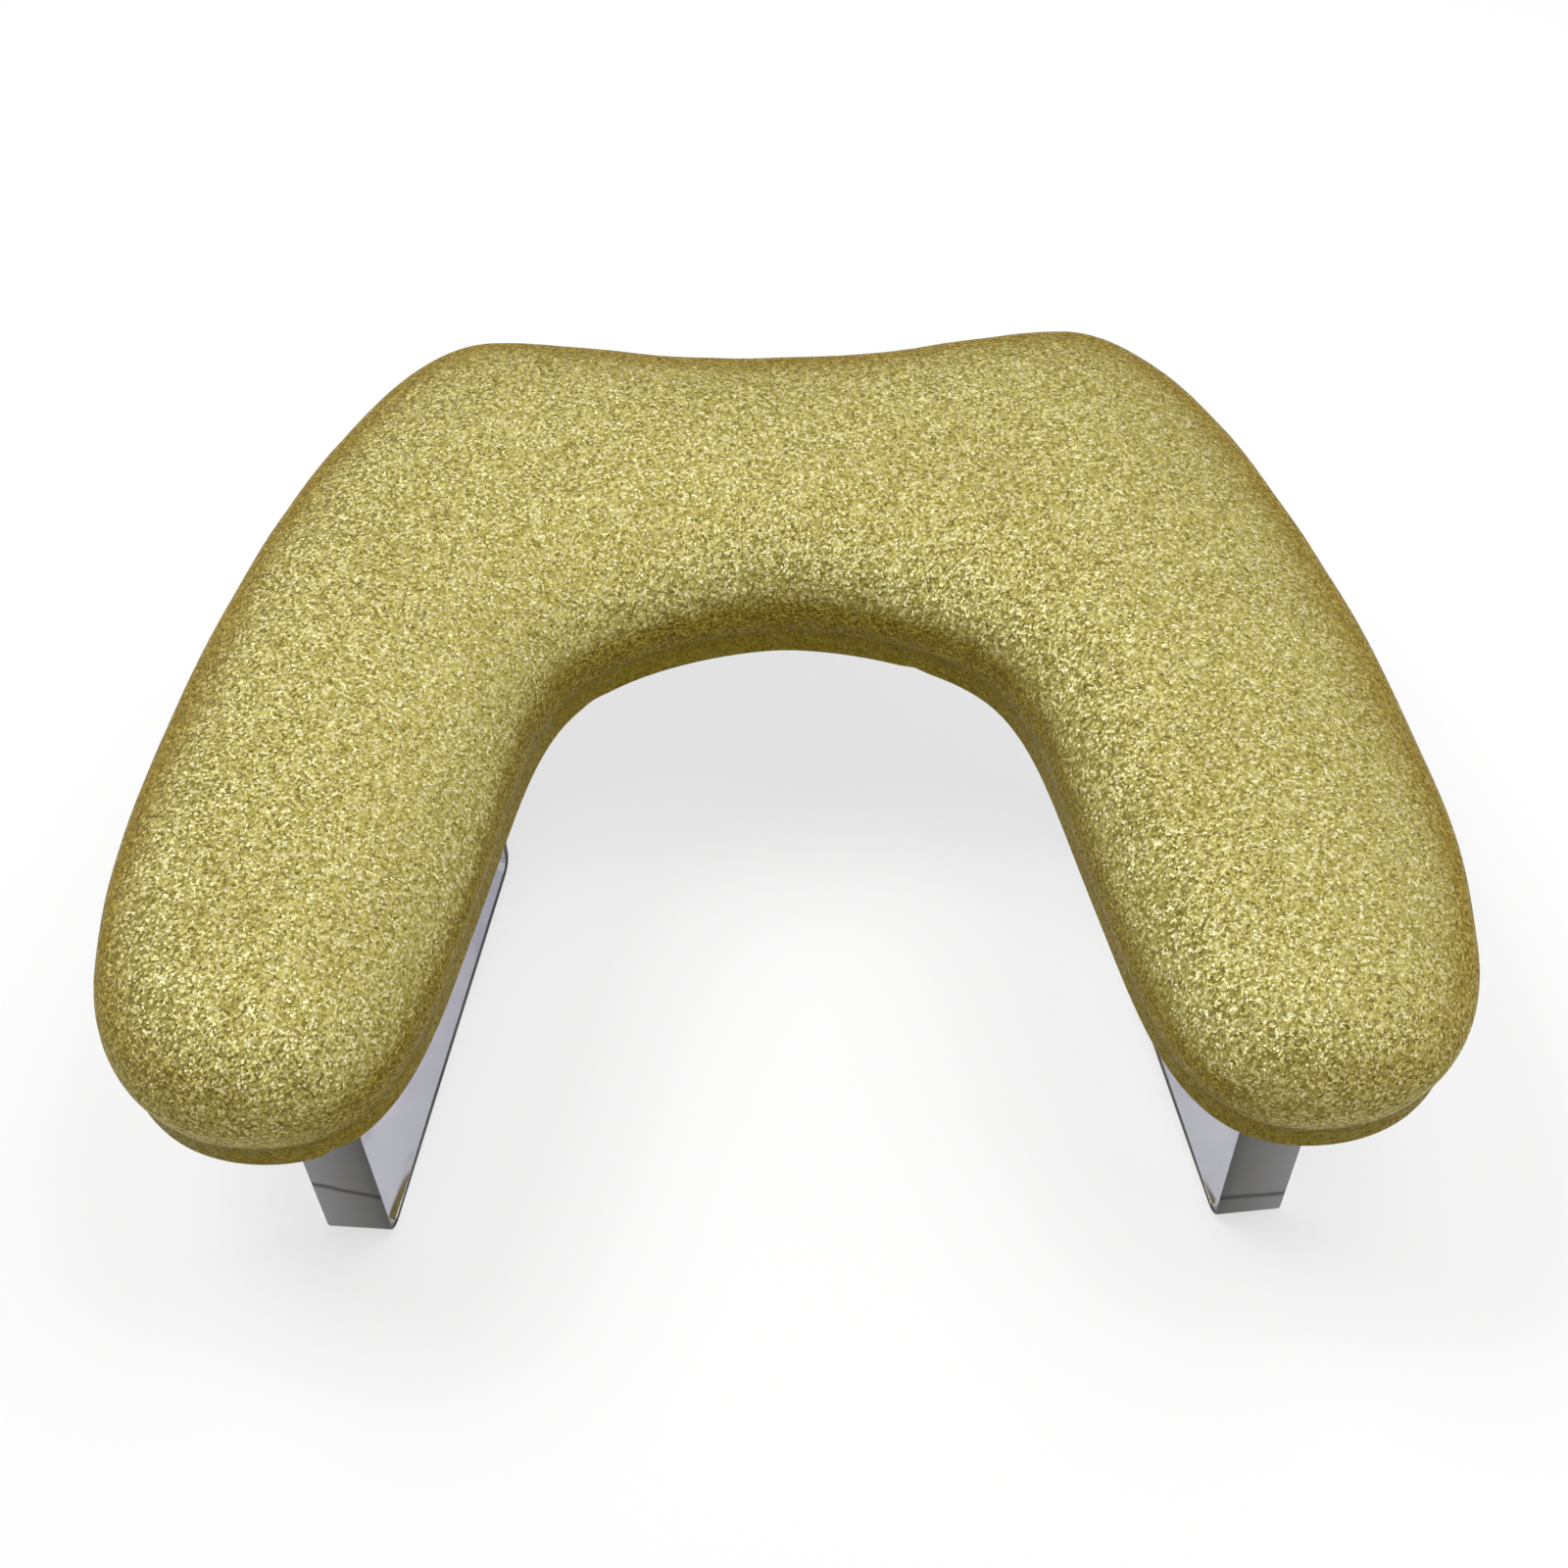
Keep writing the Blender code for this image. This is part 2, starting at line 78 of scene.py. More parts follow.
class Side(Enum):
    """The two halves of the hand rest, as the sign of X."""

    LEFT = -1
    RIGHT = 1

    @property
    def word(self) -> str:
        """Name of the side in a piece's name."""
        return self.name.lower()


class Zone(Enum):
    """Stretches of the covering, from the turned-in margin up to the crown."""

    MARGIN = 0.0
    EDGE = 1.0
    RIM = 2.0
    BULGE = 3.0
    CROWN = 4.0


def smooth_step(low: float, high: float, value: np.ndarray) -> np.ndarray:
    """Ease from 0 at low to 1 at high.

    Args:
        low: value where the result is 0.
        high: value where the result is 1.
        value: values to ease.

    Returns:
        The eased values.
    """
    share = np.clip((value - low) / (high - low), 0.0, 1.0)
    return share * share * (3.0 - 2.0 * share)


def scaled(colour: Sequence[float], share: float) -> tuple:
    """A colour brightened or dulled by a share."""
    return tuple(share * part for part in colour)


class Surface:
    """A node material under construction."""

    mottle_stops: tuple = (0.3, 0.7)

    def __init__(self, name: str) -> None:
        """Start a material with a Principled shader.

        Args:
            name: the material's name.
        """
        self.material = bpy.data.materials.new(name)
        self.material.use_nodes = True
        self.tree = self.material.node_tree
        self.shader = self.tree.nodes["Principled BSDF"]

    def node(self, kind: str, inputs: Optional[dict] = None, **settings: object) -> bpy.types.Node:
        """Add a node.

        Args:
            kind: Blender's node type, without its ShaderNode prefix.
            inputs: sockets to set or link, by name or number.
            settings: attributes of the node.

        Returns:
            The new node.
        """
        made = self.tree.nodes.new(f"ShaderNode{kind}")
        for key, value in settings.items():
            setattr(made, key, value)
        for key, value in (inputs or {}).items():
            self.put(made.inputs[key], value)
        return made

    def put(self, socket: bpy.types.NodeSocket, value: object) -> None:
        """Link an output to a socket, or set the socket's own value.

        Args:
            socket: the input socket.
            value: an output to link or a value to set.
        """
        if isinstance(value, bpy.types.NodeSocket):
            self.tree.links.new(value, socket)
        else:
            socket.default_value = value

    def principled(self, **values: object) -> None:
        """Set or link the shader's sockets, named with underscores for spaces."""
        for key, value in values.items():
            self.put(self.shader.inputs[key.replace("_", " ")], value)

    def place(self) -> bpy.types.NodeSocket:
        """Object coordinates, in metres."""
        return self.node("TexCoord").outputs["Object"]

    def stretched(self, scale: Sequence[float]) -> bpy.types.NodeSocket:
        """Object coordinates scaled along each axis."""
        return self.node("Mapping", {"Vector": self.place(), "Scale": scale}).outputs["Vector"]

    def value_of(self, name: str) -> bpy.types.NodeSocket:
        """A value stored on the mesh's points."""
        return self.node("Attribute", attribute_name=name).outputs["Fac"]

    def grain(self, size: float, detail: float = 2.0, vector: object = None) -> bpy.types.NodeSocket:
        """Smooth noise.

        Args:
            size: size of the blotches in metres.
            detail: octaves of finer noise.
            vector: coordinates, or None for object coordinates.

        Returns:
            The noise value, from 0 to 1.
        """
        inputs = {"Vector": vector or self.place(), "Scale": 1.0 / size, "Detail": detail}
        return self.node("TexNoise", inputs).outputs["Fac"]

    def cells(self, size: float, vector: object = None, **inputs: object) -> bpy.types.Node:
        """Cells of a size, each with its own random colour."""
        return self.node("TexVoronoi", {"Vector": vector or self.place(), "Scale": 1.0 / size, **inputs})

    def math(self, operation: str, first: object, second: object = 0.0) -> bpy.types.NodeSocket:
        """One arithmetic step on one or two values."""
        return self.node("Math", {0: first, 1: second}, operation=operation).outputs[0]

    def vector_math(self, operation: str, first: object, second: object = None) -> bpy.types.Node:
        """One arithmetic step on one or two vectors."""
        inputs = {0: first} if second is None else {0: first, 1: second}
        return self.node("VectorMath", inputs, operation=operation)

    def span(self, value: object, low: float, high: float) -> bpy.types.NodeSocket:
        """A value from 0 to 1 spread between low and high."""
        inputs = {"Value": value, "To Min": low, "To Max": high}
        return self.node("MapRange", inputs).outputs["Result"]

    def ramp(self, value: object, stops: Sequence[tuple]) -> bpy.types.NodeSocket:
        """Colours along a value.

        Args:
            value: the value to look up.
            stops: (position, (red, green, blue)) pairs.

        Returns:
            The colour socket.
        """
        made = self.node("ValToRGB", {"Fac": value})
        elements = made.color_ramp.elements
        while len(elements) < len(stops):
            elements.new(0.5)
        for element, (position, colour) in zip(elements, stops):
            element.position = position
            element.color = (*colour, 1.0)
        return made.outputs["Color"]

    def mottle(self, value: object, low: tuple, high: tuple) -> bpy.types.NodeSocket:
        """Two colours of a smooth noise, one in its troughs and one on its crests."""
        return self.ramp(value, tuple(zip(self.mottle_stops, (low, high))))

    def blend(self, share: object, first: object, second: object, how: str = "MIX") -> bpy.types.NodeSocket:
        """Mix two colours by a share.

        Args:
            share: how much of the second colour.
            first: the first colour.
            second: the second colour.
            how: Blender's blend type.

        Returns:
            The mixed colour.
        """
        made = self.node("Mix", data_type="RGBA", blend_type=how)
        for key, value in (("Factor", share), (6, first), (7, second)):
            if isinstance(value, tuple) and len(value) == 3:
                value = (*value, 1.0)
            self.put(made.inputs[key], value)
        return made.outputs[2]

    def tint(self, share: object, colour: object, shade: object) -> bpy.types.NodeSocket:
        """Multiply a colour by a shade, by a share."""
        return self.blend(share, colour, shade, "MULTIPLY")

    def tilted(self, normal: object, cells: bpy.types.Node, tilt: object) -> bpy.types.NodeSocket:
        """Lean a normal by each cell's random colour.

        Args:
            normal: the normal to start from.
            cells: the cells.
            tilt: how far the cells lean.

        Returns:
            The leaning normal, not yet of unit length.
        """
        turned = self.vector_math("SUBTRACT", cells.outputs["Color"], (0.5, 0.5, 0.5))
        turned = self.vector_math("SCALE", turned.outputs[0])
        self.put(turned.inputs["Scale"], tilt)
        return self.vector_math("ADD", normal, turned.outputs[0]).outputs[0]

    def bump(self, height: object, depth: float, normal: object = None) -> bpy.types.NodeSocket:
        """Raise a surface by a height.

        Args:
            height: the height, from 0 to 1.
            depth: height in metres where it is 1.
            normal: a normal to start from.

        Returns:
            The bumped normal.
        """
        inputs = {"Height": height, "Distance": depth, "Strength": 1.0}
        if normal:
            inputs["Normal"] = normal
        return self.node("Bump", inputs).outputs["Normal"]


@dataclass(frozen=True)
class GlitterLeather:
    """Faux leather faced with fine gold flakes under a thin clear film."""

    flake: float = 0.00084
    dust: float = 0.00044
    tilt: float = 0.75
    dust_tilt: float = 0.50
    glint_tilt: float = 1.0
    flake_share: float = 0.62
    rim_calm: float = 0.66
    metallic: float = 0.35
    gloss: tuple = (0.35, 0.65)
    specular_level: float = 0.12
    film_above: float = 0.74
    film_weight: float = 0.8
    film_roughness: float = 0.14
    film_stretch: tuple = (1.0, 1.07, 0.93)
    patch: float = 0.05
    patch_shade: tuple = (0.94, 0.93, 0.90)
    tones: tuple = (
        (0.0, (0.130, 0.104, 0.018)),
        (0.32, (0.330, 0.282, 0.064)),
        (0.52, (0.450, 0.394, 0.110)),
        (0.70, (0.595, 0.535, 0.185)),
        (0.90, (1.000, 0.960, 0.640)),
    )
    # Painted shade: the colour is multiplied by these on steep slopes, on slopes leaning away, on the rim
    # under the bulge and along the crease.
    painted_side_shade: tuple = (0.52, 0.43, 0.13)
    painted_outer_shade: tuple = (0.66, 0.53, 0.20)
    painted_rim_shade: tuple = (0.46, 0.385, 0.07)
    painted_crease_shade: tuple = (0.84, 0.83, 0.74)
    grazing_tint: tuple = (0.70, 0.62, 0.34, 1.0)

    def make(self) -> bpy.types.Material:
        """Build the material; it reads the values stored on the points, which place its painted shade.

        Returns:
            The material.
        """
        surface = Surface("glitter_leather")
        flakes = surface.cells(self.flake)
        dust = surface.cells(self.dust)
        pick = surface.node("SeparateColor", {"Color": flakes.outputs["Color"]})
        fine = surface.node("SeparateColor", {"Color": dust.outputs["Color"]})
        side, rim = surface.value_of("side"), surface.value_of("rim")

        mixed = surface.math("ADD", surface.math("MULTIPLY", pick.outputs["Red"], self.flake_share),
                             surface.math("MULTIPLY", fine.outputs["Green"], 1.0 - self.flake_share))
        calm = surface.span(rim, 1.0, self.rim_calm)
        level = surface.math("SUBTRACT", mixed, 0.5)
        level = surface.math("ADD", surface.math("MULTIPLY", level, calm), 0.5)
        colour = surface.ramp(level, self.tones)
        patches = surface.mottle(surface.grain(self.patch, detail=3.0), self.patch_shade, WHITE)
        colour = surface.tint(1.0, colour, patches)
        # Painted shade: steep slopes, slopes leaning away, the wrapped rim under the bulge and a band above
        # the crease are darkened in the colour.
        shades = (
            (side, self.painted_side_shade), (surface.value_of("outside"), self.painted_outer_shade),
            (rim, self.painted_rim_shade), (surface.value_of("crease"), self.painted_crease_shade),
        )
        for share, shade in shades:
            colour = surface.tint(share, colour, shade)

        normal = surface.node("NewGeometry").outputs["Normal"]
        leaning = surface.tilted(normal, flakes, surface.math("MULTIPLY", calm, self.tilt))
        leaning = surface.tilted(leaning, dust, surface.math("MULTIPLY", calm, self.dust_tilt))
        glint = surface.tilted(normal, surface.cells(self.flake, surface.stretched(self.film_stretch)),
                               surface.math("MULTIPLY", calm, self.glint_tilt))
        film = surface.math("GREATER_THAN", pick.outputs["Blue"], self.film_above)
        film = surface.math("MULTIPLY", film, surface.value_of("lit"))
        surface.principled(
            Base_Color=colour,
            Metallic=self.metallic,
            Roughness=surface.span(pick.outputs["Blue"], *self.gloss),
            Specular_IOR_Level=self.specular_level,
            Specular_Tint=self.grazing_tint,
            Normal=surface.vector_math("NORMALIZE", leaning).outputs[0],
            Coat_Weight=surface.math("MULTIPLY", film, self.film_weight),
            Coat_Roughness=self.film_roughness,
            Coat_Normal=surface.vector_math("NORMALIZE", glint).outputs[0],
        )
        return surface.material


@dataclass(frozen=True)
class PaintedReflectionLine:
    """A thin dark line painted across the front upright of a leg: a painted reflection of a dark edge."""

    x: float
    z: float
    slope: float
    width: float = 0.0026
    wander: float = 0.02
    rear: float = -0.12


@dataclass(frozen=True)
class PolishedStrip:
    """Steel strip, bright inside and rougher outside; the outer face is painted dark grey and the edges
    near-black, as painted reflection of darker surroundings.
    """

    bright: tuple = (0.86, 0.86, 0.90)
    satin: tuple = (0.245, 0.240, 0.243)
    painted_dark_edge: tuple = (0.100, 0.100, 0.090)
    painted_reflection_shade: tuple = (0.13, 0.10, 0.11)
    wipe_shade: tuple = (0.90, 0.90, 0.90)
    brush: float = 0.0012
    brush_stretch: tuple = (1.0, 0.03, 0.03)
    wipe: float = 0.016
    wave: float = 0.05
    wave_height: float = 0.00006
    brush_height: float = 0.000002
    roughness: tuple = (0.07, 0.38)
    haze: float = 0.10
    haze_span: tuple = (0.6, 1.0)
    edge_roughness: float = 0.5

    def make(self, reflected_edge: PaintedReflectionLine) -> bpy.types.Material:
        """Build the material; it reads the point values named outer and edge.

        Args:
            reflected_edge: the line across the front upright.

        Returns:
            The material.
        """
        surface = Surface("polished_strip")
        outer, edge = surface.value_of("outer"), surface.value_of("edge")
        lines = surface.grain(self.brush, vector=surface.stretched(self.brush_stretch))
        wipes = surface.grain(self.wipe, detail=4.0)
        # Painted reflection: the outer face is painted dark grey, standing in for the darker surroundings
        # that it mirrors.
        tone = surface.blend(outer, self.bright, self.satin)
        # Painted reflection: the edges are painted near-black, standing in for the dark surroundings that
        # they mirror; they are also rougher.
        tone = surface.blend(edge, tone, self.painted_dark_edge)
        tone = surface.tint(1.0, tone, surface.mottle(wipes, self.wipe_shade, WHITE))
        # Painted reflection: the dark line across the front upright.
        tone = surface.tint(self.line(surface, reflected_edge), tone, self.painted_reflection_shade)

        haze = surface.math("MULTIPLY", wipes, surface.span(lines, *self.haze_span))
        polish = surface.span(outer, *self.roughness)
        polish = surface.math("ADD", polish, surface.math("MULTIPLY", haze, self.haze))
        rough = surface.math("MAXIMUM", polish, surface.math("MULTIPLY", edge, self.edge_roughness))
        brushed = surface.bump(lines, self.brush_height)
        ripple = surface.bump(surface.grain(self.wave, detail=0.0), self.wave_height, brushed)
        surface.principled(Base_Color=tone, Metallic=1.0, Roughness=rough, Normal=ripple)
        return surface.material

    @staticmethod
    def line(surface: Surface, reflected_edge: PaintedReflectionLine) -> bpy.types.NodeSocket:
        """How far a point lies on the painted reflection line, from 0 to 1.

        Args:
            surface: the material under construction.
            reflected_edge: the line.

        Returns:
            The share, strongest on the line.
        """
        spot = surface.node("SeparateXYZ", {"Vector": surface.place()})
        rise = surface.math("MULTIPLY", surface.math("SUBTRACT", spot.outputs["X"], reflected_edge.x), reflected_edge.slope)
        away = surface.math("SUBTRACT", surface.math("SUBTRACT", spot.outputs["Z"], reflected_edge.z), rise)
        wave = surface.math("SUBTRACT", surface.grain(reflected_edge.wander), 0.5)
        wave = surface.math("MULTIPLY", wave, 2 * reflected_edge.width)
        away = surface.math("ABSOLUTE", surface.math("SUBTRACT", away, wave))
        near = surface.math("SUBTRACT", 1.0, surface.math("DIVIDE", away, reflected_edge.width))
        front = surface.math("LESS_THAN", spot.outputs["Y"], reflected_edge.rear)
        return surface.math("MULTIPLY", surface.math("MAXIMUM", near, 0.0), front)


@dataclass(frozen=True)
class NonWovenLining:
    """White spun-bonded cloth with pressed dimples and stray fibres."""

    colour: tuple = (0.87, 0.87, 0.93)
    dull_share: float = 0.88
    dimple: float = 0.0016
    unevenness: float = 0.12
    dimple_spread: float = 1.6
    fibre: float = 0.0006
    fibre_stretch: tuple = (1.0, 0.25, 1.0)
    fibre_height: float = 0.4
    cloud: float = 0.012
    cloud_span: tuple = (0.6, 1.4)
    tone_stops: tuple = (0.2, 0.6)
    relief: float = 0.00025
    roughness: float = 0.85
    fuzz: float = 0.25

    def make(self) -> bpy.types.Material:
        """Build the material.

        Returns:
            The material.
        """
        surface = Surface("white_lining")
        turned = surface.node("Mapping", {"Vector": surface.place(), "Rotation": (0, 0, math.radians(45))})
        cells = surface.cells(self.dimple, turned.outputs["Vector"], Randomness=self.unevenness)
        dimples = surface.span(cells.outputs["Distance"], 0.0, self.dimple_spread)
        fibres = surface.grain(self.fibre, 4.0, surface.stretched(self.fibre_stretch))
        cloudy = surface.span(surface.grain(self.cloud, detail=3.0), *self.cloud_span)
        stops = zip(self.tone_stops, (scaled(self.colour, self.dull_share), self.colour))
        tone = surface.ramp(surface.math("MULTIPLY", fibres, cloudy), tuple(stops))
        height = surface.math("ADD", dimples, surface.math("MULTIPLY", fibres, self.fibre_height))
        surface.principled(
            Base_Color=tone, Roughness=self.roughness, Sheen_Weight=self.fuzz,
            Normal=surface.bump(height, self.relief),
        )
        return surface.material


@dataclass(frozen=True)
class Plywood:
    """Raw plywood: grain along X on the faces and thin plies on the edge."""

    ply: float = 0.0018
    ply_wander: float = 0.4
    grain: float = 0.004
    grain_stretch: tuple = (0.06, 1.0, 1.0)
    early_wood: tuple = (0.66, 0.47, 0.28)
    late_wood: tuple = (0.36, 0.22, 0.11)
    cross_ply: tuple = (0.42, 0.27, 0.14)
    roughness: float = 0.8
    relief: float = 0.0002

    def make(self) -> bpy.types.Material:
        """Build the material.

        Returns:
            The material.
        """
        surface = Surface("plywood")
        grain = surface.grain(self.grain, 5.0, surface.stretched(self.grain_stretch))
        plies = surface.node("TexWave", {
            "Vector": surface.place(), "Scale": 0.5 / (self.ply * math.pi), "Distortion": self.ply_wander,
        }, bands_direction="Z")
        wood = surface.mottle(grain, self.late_wood, self.early_wood)
        tone = surface.blend(surface.span(plies.outputs["Fac"], 0.0, 0.5), wood, self.cross_ply)
        normal = surface.bump(grain, self.relief)
        surface.principled(Base_Color=tone, Roughness=self.roughness, Normal=normal)
        return surface.material


@dataclass(frozen=True)
class UpholsteryFoam:
    """Cream open-cell foam."""

    cell: float = 0.0011
    tone_stops: tuple = (0.1, 0.5)
    # Painted shade: the pores are coloured darker than the cell walls.
    painted_pore_shade: tuple = (0.55, 0.48, 0.30)
    wall_colour: tuple = (0.86, 0.80, 0.60)
    roughness: float = 0.95
    relief: float = 0.0004

    def make(self) -> bpy.types.Material:
        """Build the material.

        Returns:
            The material.
        """
        surface = Surface("foam")
        pores = surface.cells(self.cell).outputs["Distance"]
        tone = surface.ramp(pores, tuple(zip(self.tone_stops, (self.painted_pore_shade, self.wall_colour))))
        normal = surface.bump(pores, self.relief)
        surface.principled(Base_Color=tone, Roughness=self.roughness, Normal=normal)
        return surface.material


@dataclass(frozen=True)
class ZincSteel:
    """Zinc-plated steel with a cloudy satin surface."""

    colour: tuple = (0.62, 0.63, 0.66)
    dull_share: float = 0.84
    cloud: float = 0.0022
    roughness: tuple = (0.22, 0.42)
    pit: float = 0.0005
    relief: float = 0.00003

    def make(self) -> bpy.types.Material:
        """Build the material.

        Returns:
            The material.
        """
        surface = Surface("zinc_steel")
        clouds = surface.grain(self.cloud, detail=4.0)
        tone = surface.mottle(clouds, scaled(self.colour, self.dull_share), self.colour)
        surface.principled(
            Base_Color=tone, Metallic=1.0, Roughness=surface.span(clouds, *self.roughness),
            Normal=surface.bump(surface.grain(self.pit), self.relief),
        )
        return surface.material


@dataclass(frozen=True)
class PaleFloor:
    """Matt white table that shows paler than it is lit, with a soft shadow."""

    colour: tuple = (0.90, 0.90, 0.90)
    bright_share: float = 1.01
    patch: float = 0.4
    roughness: float = 0.85
    shine: float = 0.2
    lift: float = 0.62

    def make(self) -> bpy.types.Material:
        """Build the material.

        Returns:
            The material.
        """
        surface = Surface("pale_floor")
        bright = scaled(self.colour, self.bright_share)
        tone = surface.mottle(surface.grain(self.patch), self.colour, bright)
        surface.principled(Base_Color=tone, Roughness=self.roughness, Specular_IOR_Level=self.shine)
        rays = surface.node("LightPath").outputs
        seen = surface.math("MAXIMUM", rays["Is Camera Ray"], rays["Is Glossy Ray"])
        seen = surface.math("MAXIMUM", seen, rays["Is Transmission Ray"])
        glow = surface.node("Emission", {"Color": (*WHITE, 1.0), "Strength": 1.0})
        mixed = surface.node("MixShader", {
            0: surface.math("MULTIPLY", seen, self.lift),
            1: surface.shader.outputs["BSDF"],
            2: glow.outputs["Emission"],
        })
        surface.put(surface.tree.nodes["Material Output"].inputs["Surface"], mixed.outputs[0])
        return surface.material


@dataclass(frozen=True)
class Knot:
    """A point of an outline, its heading in degrees from +X, and the fullness of the curve beside it.

    Fullness is a handle's length as a share of the straight line to the knot on that side.
    """

    x: float
    y: float
    heading: float
    full_in: float = 0.0
    full_out: float = 0.0


@dataclass
class CushionPlan:
    """Outline of the cushion in plan and the ribs that cross from its edge to its spine."""

    half_depth: float = 0.1531
    tip_x: float = 0.1554
    outer_steps: tuple = (27, 74, 34)
    inner_steps: tuple = (36, 47, 52)
    tip_fan: int = 34

    def outer_knots(self) -> tuple:
        """Key points of the right half's outer edge, from the rear centre to the arm tip.

        Returns:
            The knots.
        """
        return (
            Knot(0.0, 0.1426, 0.0, full_out=0.438),
            Knot(0.1018, self.half_depth, 0.0, 0.338, 0.212),
            Knot(0.2078, -0.0840, -90.0, 0.269, 0.610),
            Knot(self.tip_x, -self.half_depth, 180.0, full_in=0.302),
        )

    def inner_knots(self) -> tuple:
        """Key points of the right half's inner edge, from the throat to the arm tip.

        Returns:
            The knots.
        """
        return (
            Knot(0.0, 0.0370, 0.0, full_out=0.196),
            Knot(0.0716, 0.0091, -52.1, 0.349, 0.246),
            Knot(0.0982, -0.0709, -75.3, 0.451, 0.437),
            Knot(self.tip_x, -self.half_depth, 0.0, full_in=0.392),
        )

    @staticmethod
    def curve(knots: Sequence[Knot], steps: Sequence[int]) -> np.ndarray:
        """Points along the curve through the knots.

        Args:
            knots: the key points.
            steps: number of facets in each stretch.

        Returns:
            The points, one (x, y) row each.
        """
        points = []
        for start, end, count in zip(knots, knots[1:], steps):
            out, into = math.radians(start.heading), math.radians(end.heading)
            first, last = Vector((start.x, start.y)), Vector((end.x, end.y))
            span = (last - first).length
            leave = first + Vector((math.cos(out), math.sin(out))) * start.full_out * span
            arrive = last - Vector((math.cos(into), math.sin(into))) * end.full_in * span
            points += interpolate_bezier(first, leave, arrive, last, count + 1)[:-1]
        points.append(last)
        return np.array([tuple(point) for point in points])

    def ribs(self) -> tuple:
        """Ribs round the whole edge, anticlockwise from the middle of the throat.

        Returns:
            The feet, the spine points and the spine numbers, one row for each rib.
        """
        outer = self.curve(self.outer_knots(), self.outer_steps)
        inner = self.curve(self.inner_knots(), self.inner_steps)
        spine = (outer + inner) / 2
        centre = len(spine) - 1 - self.tip_fan
        places = list(range(len(inner))) + list(range(len(outer) - 1))[::-1]
        feet = np.vstack([inner, outer[:-1][::-1]])
        numbers = np.minimum(places, centre)
        right = (feet, spine[numbers], numbers)
        flip = np.array([-1.0, 1.0])
        left = (feet[1:-1][::-1] * flip, spine[numbers[1:-1][::-1]] * flip, -numbers[1:-1][::-1])
        return tuple(np.concatenate(pair) for pair in zip(right, left))


@dataclass(frozen=True)
class Pucker:
    """A soft fold that runs from the crease towards the crown."""

    x: float
    y: float
    depth: float
    width: float
    reach: float


@dataclass(frozen=True)
class Nick:
    """A small pinch in the wrapped lower edge."""

    x: float
    y: float
    depth: float
    width: float


